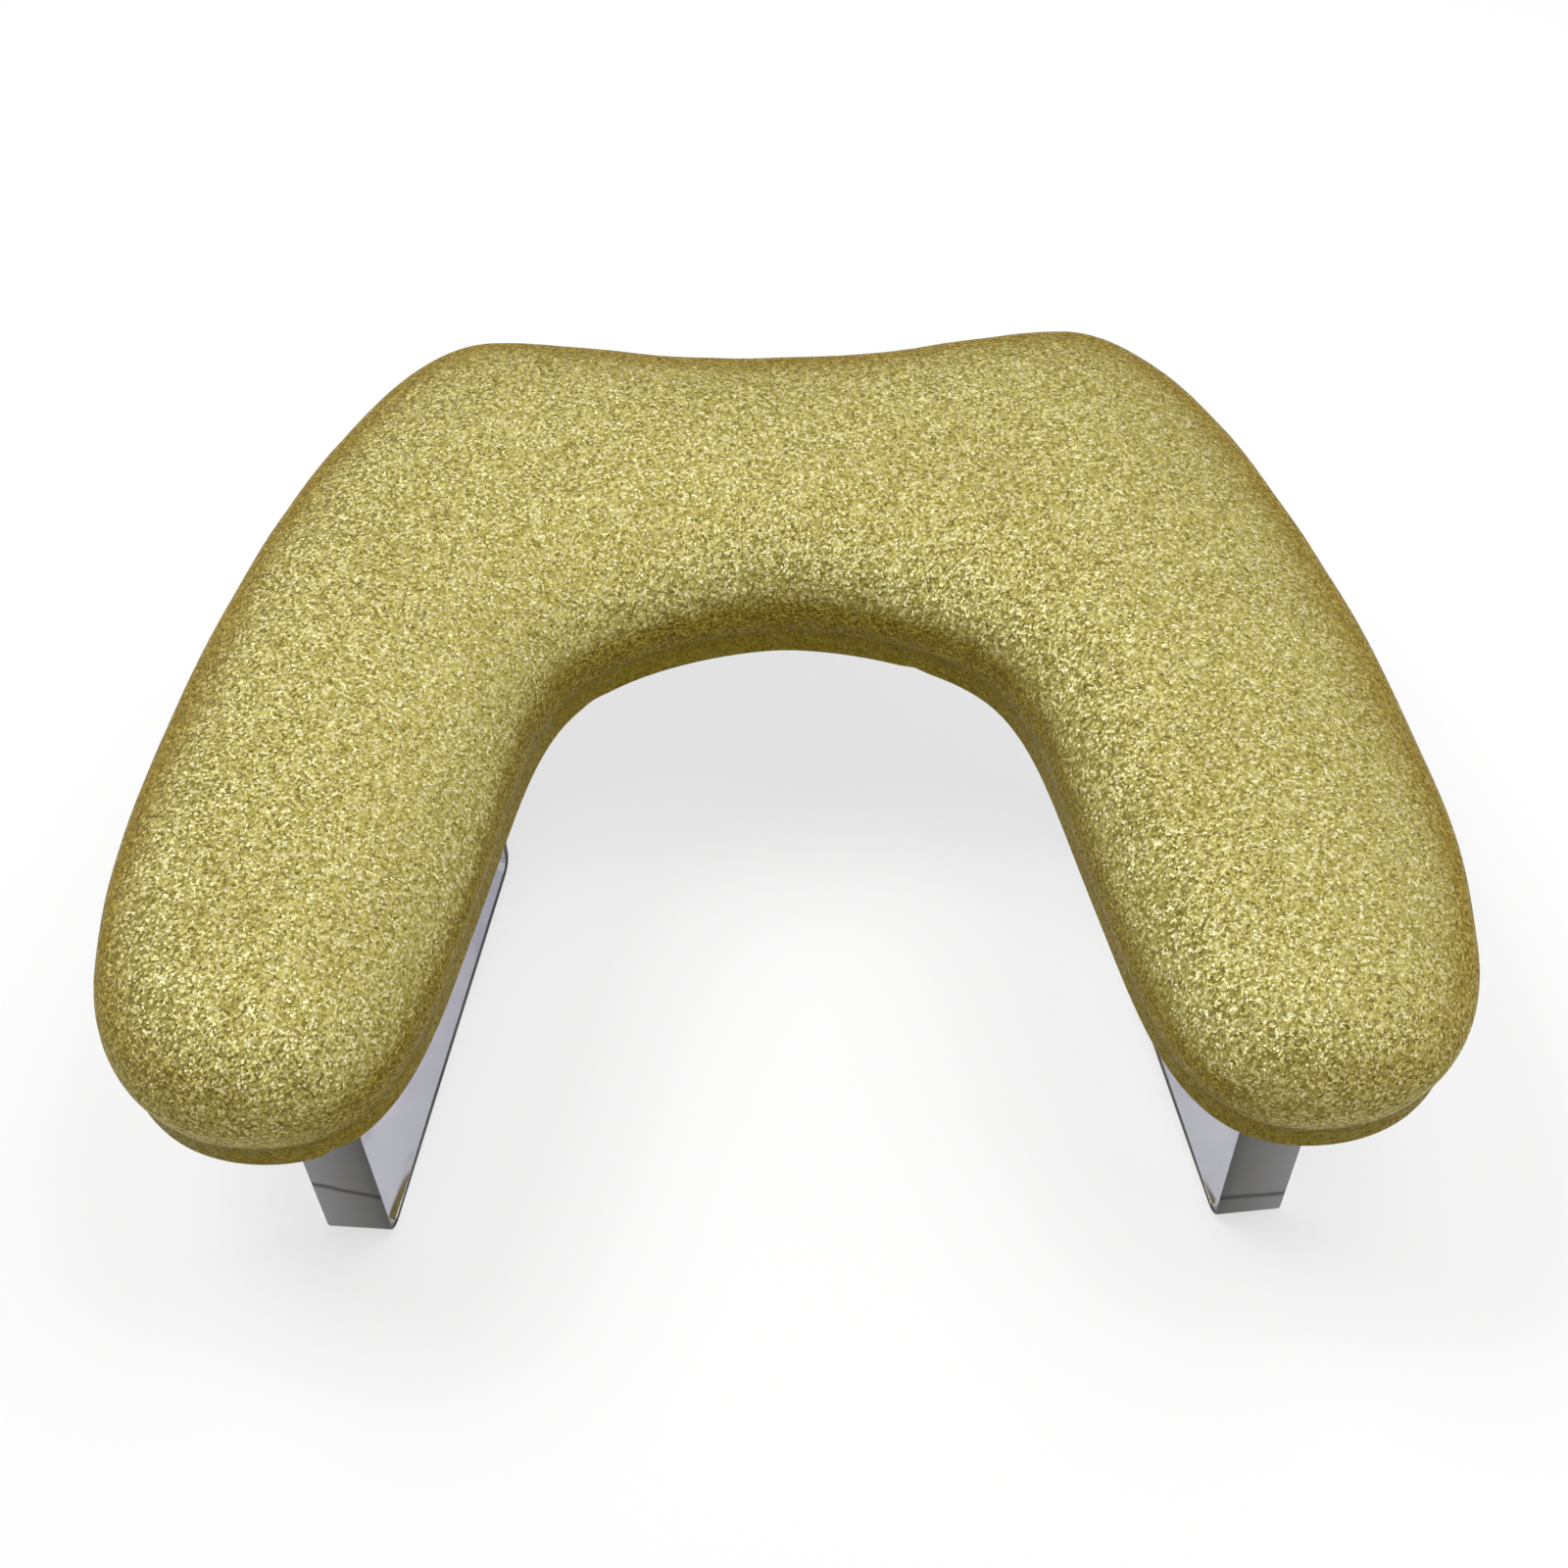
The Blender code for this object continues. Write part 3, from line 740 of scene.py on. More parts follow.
@dataclass
class CushionCover:
    """The glitter covering: crowned top, crease, wrapped rim and turned-in margin."""

    plan: CushionPlan
    overall_height: float = 0.1355
    underside: float = 0.0842
    edge_radius: float = 0.003
    rim_top: float = 0.0958
    crease_depth: float = 0.0005
    crease_rise: float = 0.0015
    crease_width: float = 0.0030
    bulge: float = 0.0025
    bulge_foot: float = 0.0900
    bulge_rise: float = 0.011
    margin_steps: int = 10
    edge_steps: int = 6
    side_steps: int = 18
    crown_steps: int = 22
    side_power: float = 2.4
    top_power: float = 2.2
    margin_width: float = 0.034
    lining_inset: float = 0.018
    mouth_middle: tuple = (0.0, -0.06)
    thickness: float = 0.001
    lump: float = 0.0008
    lump_rate: float = 20.0
    lump_rise: float = 0.012
    wrinkle: float = 0.00022
    wrinkle_rate: float = 90.0
    wrinkle_reach: float = 0.008
    wrinkle_seed: float = 3.0
    ripple: float = 0.00012
    ripple_rate: float = 60.0
    ripple_seed: float = 1.0
    nick_rise: float = 0.0035
    pleat_height: float = 0.00075
    pleat_rates: tuple = (110.0, 260.0)
    pleat_seeds: tuple = (7.0, 9.0)
    pleat_shares: tuple = (1.0, 0.5)
    pleat_start: tuple = (0.004, 0.009)
    pleat_end: float = 0.014
    fold_hold: float = 0.25
    fold_start: tuple = (-0.001, 0.006)
    # The fields from rim_fade to crease_reach place the painted shade in the leather's colour and the reach
    # of its coat.
    rim_fade: float = 0.004
    rear_lean: float = 0.42
    side_slope: tuple = (0.10, 0.66)
    outer_slope: tuple = (0.66, 0.985)
    lit_slope: tuple = (0.50, 0.92)
    front_share: float = 0.85
    inner_share: float = 0.75
    facing_out: tuple = (-0.2, 0.5)
    crease_offset: float = 0.001
    crease_reach: float = 0.0036
    sim_voxel: float = 0.0055
    sim_pressure: float = 4.0
    sim_shrink: float = -0.012
    sim_bending: float = 0.8
    sim_ease: tuple = (0.002, 0.014)
    sim_near: float = 0.004
    sim_frames: int = 20
    sim_hem: float = 0.6
    sim_cap: float = 0.0010
    sim_blend: int = 24
    puckers: tuple = (
        Pucker(-0.0716, 0.0091, 0.0013, 0.0085, 0.042),
        Pucker(-0.0610, 0.0190, 0.0006, 0.0065, 0.028),
        Pucker(-0.0810, -0.0110, 0.0009, 0.0070, 0.034),
        Pucker(0.0716, 0.0091, 0.0010, 0.0095, 0.038),
        Pucker(0.0835, -0.0170, 0.0008, 0.0075, 0.034),
        Pucker(0.0560, 0.0220, 0.0005, 0.0065, 0.022),
    )
    nicks: tuple = (
        Nick(-0.1356, -0.1490, 0.0011, 0.0026),
        Nick(0.0439, 0.0290, 0.0008, 0.0030),
        Nick(-0.0640, 0.0160, 0.0005, 0.0040),
    )

    @property
    def crease(self) -> float:
        """Height of the crease between the rim and the padding's bulge."""
        return self.rim_top + self.crease_rise

    def section(self, lengths: np.ndarray) -> tuple:
        """Outer face along every rib.

        Args:
            lengths: length of each rib.

        Returns:
            Insets and heights with a row for each level, and the zone of each level.
        """
        levels = []
        for share in np.linspace(1.0, 0.0, self.margin_steps + 1)[:-1]:
            inset = self.edge_radius + (self.margin_width - self.edge_radius) * share
            levels.append((inset, self.underside, Zone.MARGIN))
        for turn in np.linspace(0.0, math.pi / 2, self.edge_steps + 1):
            inset = self.edge_radius * (1 - math.sin(turn))
            height = self.underside + self.edge_radius * (1 - math.cos(turn))
            levels.append((inset, height, Zone.EDGE))
        foot = self.underside + self.edge_radius
        widest = self.crease + self.bulge_rise
        for height in np.linspace(foot, widest, self.side_steps + 1)[1:]:
            dip = self.crease_depth * math.exp(-((height - self.crease) / self.crease_width) ** 2)
            share = max(height - self.bulge_foot, 0.0) / (widest - self.bulge_foot)
            swell = (1 - math.cos(math.pi * share)) / 2
            zone = Zone.RIM if height < self.crease else Zone.BULGE
            levels.append((dip - self.bulge * swell, height, zone))
        insets = [np.full(len(lengths), inset) for inset, _, _ in levels]
        heights = [np.full(len(lengths), height) for _, height, _ in levels]
        zones = [zone for _, _, zone in levels]
        for turn in np.radians(np.linspace(0.0, 90.0, self.crown_steps + 1))[1:]:
            out = max(math.cos(turn), 0.0) ** (2 / self.side_power)
            rise = math.sin(turn) ** (2 / self.top_power)
            insets.append((self.bulge + lengths) * (1 - out) - self.bulge)
            heights.append(np.full(len(lengths), widest + (self.overall_height - widest) * rise))
            zones.append(Zone.CROWN)
        return np.array(insets), np.array(heights), zones

    def grid(self) -> tuple:
        """Points of the outer face before it is softened.

        Returns:
            Points as (level, rib, xyz), the zones of the levels and the spine numbers.
        """
        feet, spine, numbers = self.plan.ribs()
        along = spine - feet
        lengths = np.linalg.norm(along, axis=1)
        inward = along / lengths[:, None]
        insets, heights, zones = self.section(lengths)
        flat = feet[None] + inward[None] * insets[..., None]
        return np.concatenate([flat, heights[..., None]], axis=2), zones, numbers

    def soften(self, points: np.ndarray, zones: Sequence[Zone]) -> np.ndarray:
        """Sculpt the lumps, puckers and pleats of drawn leather.

        Args:
            points: the grid.
            zones: zone of each level.

        Returns:
            The sculpted grid.
        """
        out = outward(points)
        values = np.array([zone.value for zone in zones])
        soft = (values >= Zone.BULGE.value).astype(float)
        crease_level = int(np.argmax(soft))
        climb = np.linalg.norm(np.diff(points, axis=0), axis=2)
        climb = np.concatenate([np.zeros((1, points.shape[1])), np.cumsum(climb, axis=0)])
        climb = climb - climb[crease_level]
        steps = points[crease_level] - np.roll(points[crease_level], 1, axis=0)
        travel = np.cumsum(np.linalg.norm(steps, axis=1))
        insets = np.linalg.norm(points[..., :2] - points[crease_level][None, :, :2], axis=2)
        push = np.zeros(points.shape[:2])
        for level in range(points.shape[0]):
            for rib in range(points.shape[1]):
                spot = Vector(points[level, rib])
                rise = climb[level, rib]
                if soft[level]:
                    ease = min(rise / self.lump_rise, 1.0)
                    push[level, rib] += self.lump * ease * noise.noise(spot * self.lump_rate)
                    wrinkle = noise.noise(Vector((travel[rib] * self.wrinkle_rate, 0.0, self.wrinkle_seed)))
                    push[level, rib] += self.wrinkle * wrinkle * math.exp(-rise / self.wrinkle_reach)
                elif values[level] == Zone.RIM.value:
                    place = (travel[rib] * self.ripple_rate, spot.z * self.ripple_rate, self.ripple_seed)
                    push[level, rib] += self.ripple * noise.noise(Vector(place))
                elif values[level] == Zone.MARGIN.value:
                    push[level, rib] += self.pleat(travel[rib], insets[level, rib])
        for pucker in self.puckers:
            push -= self.fold(points[crease_level], travel, climb, pucker) * soft[:, None]
        low = np.exp(-((points[..., 2] - self.underside) / self.nick_rise) ** 2)
        low = low * (values[:, None] >= Zone.EDGE.value)
        for nick in self.nicks:
            away = self.offset(points[crease_level], travel, nick)
            push -= nick.depth * np.exp(-(away / nick.width) ** 2)[None] * low
        return points + out * push[..., None]

    def pleat(self, travel: float, inset: float) -> float:
        """Height of the gathered pleats of the margin, which flatten under the lining.

        Args:
            travel: distance round the edge.
            inset: distance in from the edge.

        Returns:
            The height in metres.
        """
        covered = smooth_step(self.pleat_end, self.lining_inset, inset)
        fade = float(smooth_step(*self.pleat_start, inset) * (1.0 - covered))
        pleats = zip(self.pleat_rates, self.pleat_seeds, self.pleat_shares)
        gather = sum(share * noise.noise(Vector((travel * rate, 0.0, seed))) for rate, seed, share in pleats)
        return self.pleat_height * fade * gather

    @staticmethod
    def offset(foot: np.ndarray, travel: np.ndarray, spot: object) -> np.ndarray:
        """Distance of every rib from a spot, round the edge."""
        away = np.linalg.norm(foot[:, :2] - np.array([spot.x, spot.y]), axis=1)
        return travel - travel[away.argmin()]

    def fold(self, foot: np.ndarray, travel: np.ndarray, climb: np.ndarray, pucker: Pucker) -> np.ndarray:
        """Depth of one pucker at every point.

        Args:
            foot: the points of the crease.
            travel: distance of every rib round the edge.
            climb: distance of each point above the crease, along the face.
            pucker: the fold.

        Returns:
            The depth in metres.
        """
        away = self.offset(foot, travel, pucker)
        width = pucker.width * (1.0 + climb.clip(0) / pucker.reach)
        ridge = np.exp(-(away[None] / width) ** 2)
        fade = 1.0 - smooth_step(self.fold_hold * pucker.reach, pucker.reach, climb)
        return pucker.depth * ridge * fade * smooth_step(*self.fold_start, climb)

    def relax(self, points: np.ndarray, zones: Sequence[Zone], numbers: np.ndarray) -> np.ndarray:
        """Let cloth under pressure settle over the padding and take its small moves.

        Args:
            points: the grid.
            zones: zone of each level.
            numbers: spine number of each rib.

        Returns:
            The grid, moved with the simulated cloth above the crease.
        """
        first = next(level for level, zone in enumerate(zones) if zone is Zone.BULGE)
        form = make_mesh("sim_form", *grid_faces(points[first:], numbers, cap=True))
        body = link_piece("sim_form", form)
        remesh = body.modifiers.new("even", "REMESH")
        remesh.mode = "VOXEL"
        remesh.voxel_size = self.sim_voxel
        graph = bpy.context.evaluated_depsgraph_get()
        even = bpy.data.meshes.new_from_object(body.evaluated_get(graph))
        cloth_body = link_piece("sim_cloth", even)
        start = np.array([vertex.co for vertex in even.vertices])
        hem = self.crease + self.sim_hem * self.sim_voxel
        held = cloth_body.vertex_groups.new(name="held")
        held.add([int(index) for index in np.flatnonzero(start[:, 2] < hem)], 1.0, "REPLACE")
        cloth = cloth_body.modifiers.new("cloth", "CLOTH")
        settings = cloth.settings
        settings.vertex_group_mass = "held"
        settings.use_pressure = True
        settings.uniform_pressure_force = self.sim_pressure
        settings.effector_weights.gravity = 0.0
        settings.shrink_min = self.sim_shrink
        settings.bending_stiffness = self.sim_bending
        cloth.point_cache.frame_end = self.sim_frames
        scene = bpy.context.scene
        for frame in range(1, self.sim_frames + 1):
            scene.frame_set(frame)
        graph = bpy.context.evaluated_depsgraph_get()
        settled = cloth_body.evaluated_get(graph).to_mesh()
        moves = np.array([vertex.co for vertex in settled.vertices]) - start
        scene.frame_set(1)
        reach = np.linalg.norm(moves, axis=1)
        free = start[:, 2] >= hem
        usual, most = MM * reach[free].mean(), MM * reach.max()
        LOG.info("cloth moved %.1f mm on average, %.1f mm at most", usual, most)
        moves -= moves * np.clip(1 - self.sim_cap / np.maximum(reach, NEARLY_ZERO), 0, 1)[:, None]
        for item in (body, cloth_body):
            bpy.data.objects.remove(item, do_unlink=True)
        return self.follow(points, first, start, moves)

    def follow(self, points: np.ndarray, first: int, start: np.ndarray, moves: np.ndarray) -> np.ndarray:
        """Carry the cloth's moves over to the grid.

        Args:
            points: the grid.
            first: first level above the crease.
            start: the cloth's points before it settled.
            moves: how far each of them moved.

        Returns:
            The moved grid.
        """
        tree = KDTree(len(start))
        for index, spot in enumerate(start):
            tree.insert(spot, index)
        tree.balance()
        moved = points.copy()
        low, high = (self.crease + rise for rise in self.sim_ease)
        for level in range(first, points.shape[0]):
            for rib in range(points.shape[1]):
                spot = points[level, rib]
                near = tree.find_n(spot, self.sim_blend)
                weights = np.array([1.0 / (self.sim_near + distance) for _, _, distance in near])
                beside = moves[[index for _, index, _ in near]]
                shift = (beside * weights[:, None]).sum(axis=0) / weights.sum()
                ease = float(smooth_step(low, high, np.array(spot[2])))
                moved[level, rib] = spot + shift * ease
        return moved

    def shape(self) -> tuple:
        """Sculpted points of the outer face.

        Returns:
            The grid, the zones of its levels and the spine numbers.
        """
        points, zones, numbers = self.grid()
        points = self.relax(points, zones, numbers)
        points = self.soften(points, zones)
        points[-1] = settle_spine(points[-1], numbers)
        return points, zones, numbers

    def build(self, shape: tuple) -> bpy.types.Object:
        """Model the covering as a thin closed shell.

        Args:
            shape: the sculpted grid, its zones and its spine numbers.

        Returns:
            The covering, with the point values that its finish reads: the painted shade of its leather and
            the reach of its coat.
        """
        points, zones, numbers = shape
        mesh = make_mesh("cushion_cover", *grid_faces(points, numbers))
        height = points[..., 2]
        values = np.array([zone.value for zone in zones])[:, None]
        facing = outward(points)
        facing[-1] = facing[-2]
        slope = np.clip(facing[..., 2], 0.0, 1.0)
        away = points[..., :2] - np.array(self.mouth_middle)
        away /= np.linalg.norm(away, axis=2, keepdims=True)
        outside = smooth_step(*self.facing_out, (facing[..., :2] * away).sum(axis=2))
        above = (values >= Zone.BULGE.value) * np.ones_like(height)
        # Painted shade: rim darkens the wrapped rim under the bulge and also calms its glitter, side the
        # steep slopes, outside the slopes that lean away; lit keeps the clear film's coat to up-facing
        # slopes, where the lamps fall.
        faded = 1.0 - smooth_step(self.crease, self.crease + self.rim_fade, height)
        rim = np.where(above > 0, faded, 1.0)
        paint(mesh, "rim", spread(rim, numbers))
        steep = (1.0 - smooth_step(*self.side_slope, slope)) * (1.0 - rim)
        paint(mesh, "side", spread(steep * (1.0 - self.inner_share * outside), numbers))
        tipped = slope - self.rear_lean * np.clip(facing[..., 1], 0.0, 1.0)
        leaning = (1.0 - smooth_step(*self.outer_slope, tipped)) * (1.0 - rim)
        turned = 1.0 - self.front_share * np.clip(-facing[..., 1], 0.0, 1.0)
        leaning = leaning * outside * turned
        paint(mesh, "outside", spread(leaning, numbers))
        lit = smooth_step(*self.lit_slope, slope) * (1.0 - rim) * (1.0 - leaning)
        paint(mesh, "lit", spread(lit, numbers))
        # Painted shade: a dark band just above the crease.
        rise = (height - self.crease - self.crease_offset) / self.crease_reach
        paint(mesh, "crease", spread(np.exp(-rise ** 2), numbers))
        cover = link_piece("cushion_cover", mesh)
        shell = cover.modifiers.new("shell", "SOLIDIFY")
        shell.thickness = self.thickness
        shell.offset = -1.0
        apply_modifiers(cover)
        return cover

    def dress(self, cover: bpy.types.Object, finish: GlitterLeather) -> None:
        """Give the covering its finish and its place in the frame.

        Args:
            cover: the covering.
            finish: its leather.
        """
        finish_with(cover, finish.make())
        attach(cover, BODY)
        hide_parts("leather_cover")


@dataclass
class FoamPad:
    """The padding, one clearance inside the covering and flat on the board."""

    bottom: float = 0.0948
    clearance: float = 0.0013
    sharp_angle: float = 60.0

    def build(self, shape: tuple) -> bpy.types.Object:
        """Model the padding from the covering's sculpted grid.

        Args:
            shape: the sculpted grid, its zones and its spine numbers.

        Returns:
            The padding.
        """
        points, _, numbers = shape
        inner = points - outward(points) * self.clearance
        first = int(np.argmax(points[:, 0, 2] > self.bottom))
        inner = inner[first - 1:]
        inner[0, :, :2] = inner[1, :, :2]
        inner[0, :, 2] = self.bottom
        inner[-1] = settle_spine(inner[-1], numbers)
        pad = link_piece("foam_padding", make_mesh("foam_padding", *grid_faces(inner, numbers, cap=True)))
        shade(pad, self.sharp_angle)
        return pad

    @staticmethod
    def dress(pad: bpy.types.Object) -> None:
        """Give the padding its finish and its place in the frame.

        Args:
            pad: the padding.
        """
        finish_with(pad, UpholsteryFoam().make())
        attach(pad, BODY)
        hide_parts("foam_pad")


def outward(points: np.ndarray) -> np.ndarray:
    """Outward directions of a grid that closes round its ribs.

    Args:
        points: the grid.

    Returns:
        A unit vector for each point.
    """
    around = np.roll(points, -1, axis=1) - np.roll(points, 1, axis=1)
    up = np.gradient(points, axis=0)
    out = np.cross(around, up)
    return out / np.maximum(np.linalg.norm(out, axis=2, keepdims=True), NEARLY_ZERO)


def settle_spine(row: np.ndarray, numbers: np.ndarray) -> np.ndarray:
    """Give the ribs that share a spine point its middle place.

    Args:
        row: last level of a grid.
        numbers: spine number of each rib.

    Returns:
        The level with the shared points averaged.
    """
    settled = row.copy()
    for number in np.unique(numbers):
        same = numbers == number
        settled[same] = row[same].mean(axis=0)
    return settled


def spread(values: np.ndarray, numbers: np.ndarray) -> np.ndarray:
    """Values of a grid in the order of its mesh's points."""
    shared = [values[-1][numbers == number].mean() for number in sorted(set(numbers.tolist()))]
    return np.concatenate([values[:-1].ravel(), shared])


def grid_faces(points: np.ndarray, numbers: np.ndarray, cap: bool = False) -> tuple:
    """Points and faces of a grid that closes over its spine.

    Args:
        points: the grid, as (level, rib, xyz), with the spine as its last level.
        numbers: spine number of each rib.
        cap: whether a flat face closes the first level.

    Returns:
        The points and the faces.
    """
    levels, ribs = points.shape[:2]
    keys = sorted(set(numbers.tolist()))
    place = {key: (levels - 1) * ribs + order for order, key in enumerate(keys)}
    crown = np.array([points[-1][numbers == key].mean(axis=0) for key in keys])
    corners = np.concatenate([points[:-1].reshape(-1, 3), crown])
    faces = []
    for rib in range(ribs):
        beside = (rib + 1) % ribs
        for level in range(levels - 2):
            low, high = level * ribs, (level + 1) * ribs
            faces.append((low + rib, low + beside, high + beside, high + rib))
        last = (levels - 2) * ribs
        top = (place[int(numbers[beside])], place[int(numbers[rib])])
        faces.append((last + rib, last + beside, *dict.fromkeys(top)))
    if cap:
        faces.append(tuple(range(ribs))[::-1])
    return corners, faces


def make_mesh(name: str, corners: Iterable, faces: Iterable) -> bpy.types.Mesh:
    """Make a smooth mesh from points and faces.

    Args:
        name: the mesh's name.
        corners: the points.
        faces: rows of point numbers.

    Returns:
        The mesh.
    """
    mesh = bpy.data.meshes.new(name)
    mesh.from_pydata([tuple(map(float, corner)) for corner in corners], [], list(faces))
    mesh.update()
    mesh.shade_smooth()
    return mesh


def mesh_from(bm: bmesh.types.BMesh, name: str) -> bpy.types.Mesh:
    """Turn a bmesh outward and write it to a new mesh.

    Args:
        bm: the bmesh, freed afterwards.
        name: the mesh's name.

    Returns:
        The mesh.
    """
    bmesh.ops.recalc_face_normals(bm, faces=bm.faces[:])
    mesh = bpy.data.meshes.new(name)
    bm.to_mesh(mesh)
    bm.free()
    return mesh


def link_piece(name: str, mesh: bpy.types.Mesh) -> bpy.types.Object:
    """Link a mesh as a new object.

    Args:
        name: the object's name.
        mesh: its mesh.

    Returns:
        The object.
    """
    piece = bpy.data.objects.new(name, mesh)
    bpy.context.scene.collection.objects.link(piece)
    return piece


def paint(mesh: bpy.types.Mesh, name: str, values: np.ndarray) -> None:
    """Store a value for each point of a mesh."""
    layer = mesh.attributes.new(name, "FLOAT", "POINT")
    layer.data.foreach_set("value", np.ascontiguousarray(values, dtype=np.float32))


def finish_with(piece: bpy.types.Object, material: bpy.types.Material) -> None:
    """Make a material the only one of a piece."""
    piece.data.materials.clear()
    piece.data.materials.append(material)


def shade(piece: bpy.types.Object, sharp_angle: float) -> None:
    """Shade a piece smoothly, but for its edges sharper than an angle in degrees."""
    piece.data.shade_smooth()
    piece.data.set_sharp_from_angle(angle=math.radians(sharp_angle))


def log_piece(piece: bpy.types.Object) -> None:
    """Log a finished piece."""
    LOG.info("%s: %d faces", piece.name, len(piece.data.polygons))


def apply_modifiers(piece: bpy.types.Object) -> None:
    """Replace a piece's mesh with its evaluated mesh.

    Args:
        piece: the piece.
    """
    graph = bpy.context.evaluated_depsgraph_get()
    mesh = bpy.data.meshes.new_from_object(piece.evaluated_get(graph))
    piece.modifiers.clear()
    piece.data = mesh


def bake_cut(piece: bpy.types.Object, cutter: bpy.types.Object) -> None:
    """Cut a piece with a tool and remove the tool.

    Args:
        piece: the piece.
        cutter: the tool.
    """
    modifier = piece.modifiers.new("cut", "BOOLEAN")
    modifier.operation = "DIFFERENCE"
    modifier.solver = "EXACT"
    modifier.object = cutter
    apply_modifiers(piece)
    bpy.data.objects.remove(cutter, do_unlink=True)


def join_rings(bm: bmesh.types.BMesh, rings: Sequence[list]) -> None:
    """Join rings of points into bands; a point that repeats is used once.

    Args:
        bm: the bmesh under construction.
        rings: rings with the same number of points.
    """
    for lower, upper in zip(rings, rings[1:]):
        for step in range(len(lower)):
            after = (step + 1) % len(lower)
            bm.faces.new(list(dict.fromkeys((lower[step], lower[after], upper[after], upper[step]))))


def lathe(profile: Sequence[tuple], places: Sequence[Vector], steps: int = 40) -> bpy.types.Mesh:
    """Turn an open (radius, height) profile, closed on the axis at both ends, at each place.

    Args:
        profile: the points of the profile.
        places: where each copy stands.
        steps: facets round the axis.

    Returns:
        A mesh with one turned body for each place.
    """
    bm = bmesh.new()
    turns = [math.tau * step / steps for step in range(steps)]
    for place in places:
        rings = []
        for radius, height in profile:
            if radius == 0:
                rings.append([bm.verts.new(place + Vector((0, 0, height)))] * steps)
                continue
            spots = [Vector((radius * math.cos(turn), radius * math.sin(turn), height)) for turn in turns]
            rings.append([bm.verts.new(place + spot) for spot in spots])
        join_rings(bm, rings)
    return mesh_from(bm, "turned")


@dataclass
class StripLeg:
    """One bent strip: a run on the table, two uprights and two holed tabs."""

    side: Side
    height: float = 0.083
    run: float = 0.150
    width: float = 0.021
    thickness: float = 0.002
    bend_radius: float = 0.0025
    foot_radius: float = 0.0045
    tab: float = 0.038
    shift: float = 0.0035
    corner_x: float = 0.1357
    corner_y: float = -0.1376
    toe_in: float = math.radians(12.0)
    edge_round: float = 0.00045
    front_skew: float = math.radians(7.0)
    roll_width: float = 0.0040
    roll_ease: float = 0.0008
    roll_tilt: float = math.tan(math.radians(13.7))
    roll_reach: float = 0.055
    hole_radius: float = 0.003
    first_screw: float = 0.0115
    screw_pitch: float = 0.018
    bend_steps: int = 10
    run_shares: tuple = (0.1, 0.9, 9)
    roll_shares: tuple = (0.2, 1.2, 11)
    face_rise: float = 0.8
    edge_lean: float = 0.4
    sharp_angle: float = 38.0

    def matrix(self) -> Matrix:
        """Place of the leg's front inner corner, turned by its toe-in.

        Returns:
            The place as a matrix.
        """
        sign = self.side.value
        spot = Matrix.Translation((self.shift + sign * self.corner_x, self.corner_y, 0))
        return spot @ Matrix.Rotation(sign * self.toe_in, 4, "Z")

    def screw_places(self) -> list:
        """Place of each screw's axis on the table's level, in order to the rear.

        Returns:
            The places.
        """
        reaches = (self.first_screw, self.first_screw + self.screw_pitch)
        rows = [*reaches, *(self.run - reach for reach in reversed(reaches))]
        middle = self.side.value * self.width / 2
        return [self.matrix() @ Vector((middle, row, 0)) for row in rows]

    def drill(self, bottom: float, top: float) -> bpy.types.Object:
        """Tool for the screw holes between two heights."""
        profile = ((0, bottom), (self.hole_radius, bottom), (self.hole_radius, top), (0, top))
        return link_piece("drill", lathe(profile, self.screw_places()))

    def path(self) -> list:
        """Middle line of the strip in side view, from the front tab to the rear tab.

        Returns:
            (y, z, angle, skew) rows: the angle is the outward direction of the strip's outer face,
            the skew how much the strip's line across follows the slanted front fold.
        """
        half = self.thickness / 2
        stations = [(self.tab, self.height - half, 90.0, 0.0)]
        bends = ((True, True, 90), (True, False, 180), (False, False, 270), (False, True, 360))
        for front, upper, start in bends:
            inner = self.bend_radius if upper else self.foot_radius
            near, radius = inner + self.thickness, inner + half
            centre_y = near if front else self.run - near
            centre_z = self.height - near if upper else near
            for step in range(self.bend_steps + 1):
                angle = start + 90 * step / self.bend_steps
                turn = math.radians(angle)
                spot = (centre_y + radius * math.cos(turn), centre_z + radius * math.sin(turn))
                stations.append((*spot, angle, 1.0 if front else 0.0))
            if start == 180:
                for share in np.linspace(*self.run_shares):
                    stations.append((near + (self.run - 2 * near) * share, half, 270.0, 1.0 - share))
        stations.append((self.run - self.tab, self.height - half, 450.0, 0.0))
        return stations

    def cross_section(self) -> list:
        """Outline of the strip.

        Returns:
            (across, out, outer, edge) rows; across grows from the edge that faces the mouth.
        """
        deep, round_off = self.thickness / 2, self.edge_round
        rows = []
        for across, out, start in ((self.width, 1, 0), (0.0, 1, 90), (0.0, -1, 180), (self.width, -1, 270)):
            for turn in (start, start + 30, start + 60, start + 90):
                lean, rise = math.cos(math.radians(turn)), math.sin(math.radians(turn))
                centre = across - math.copysign(round_off, across - self.width / 2)
                # face places the outer face's painted dark grey; edge places the edges' painted near-black,
                # all along the edge that faces the mouth.
                face = 1.0 if rise > self.face_rise else 0.0
                edge = 1.0 if abs(lean) > self.edge_lean or across == 0.0 else 0.0
                height = out * (deep - round_off) + round_off * rise
                rows.append((centre + round_off * lean, height, face, edge))
            if start == 180:
                shares = np.linspace(*self.roll_shares)
                rows += [(share * self.roll_width, -deep, 0.0, 0.0) for share in shares]
        return rows

    def roll(self, across: float, out: float, y: float) -> float:
        """How far the inner face is rolled down towards the edge that faces the mouth.

        Args:
            across: distance from that edge.
            out: height over the strip's middle, outward.
            y: distance behind the front fold.

        Returns:
            The distance in metres.
        """
        if out > 0:
            return 0.0
        fade = 1.0 - float(smooth_step(0.0, self.roll_reach, y))
        inside = max(self.roll_width - across, 0.0)
        return self.roll_tilt * fade * inside ** 2 / (inside + self.roll_ease)

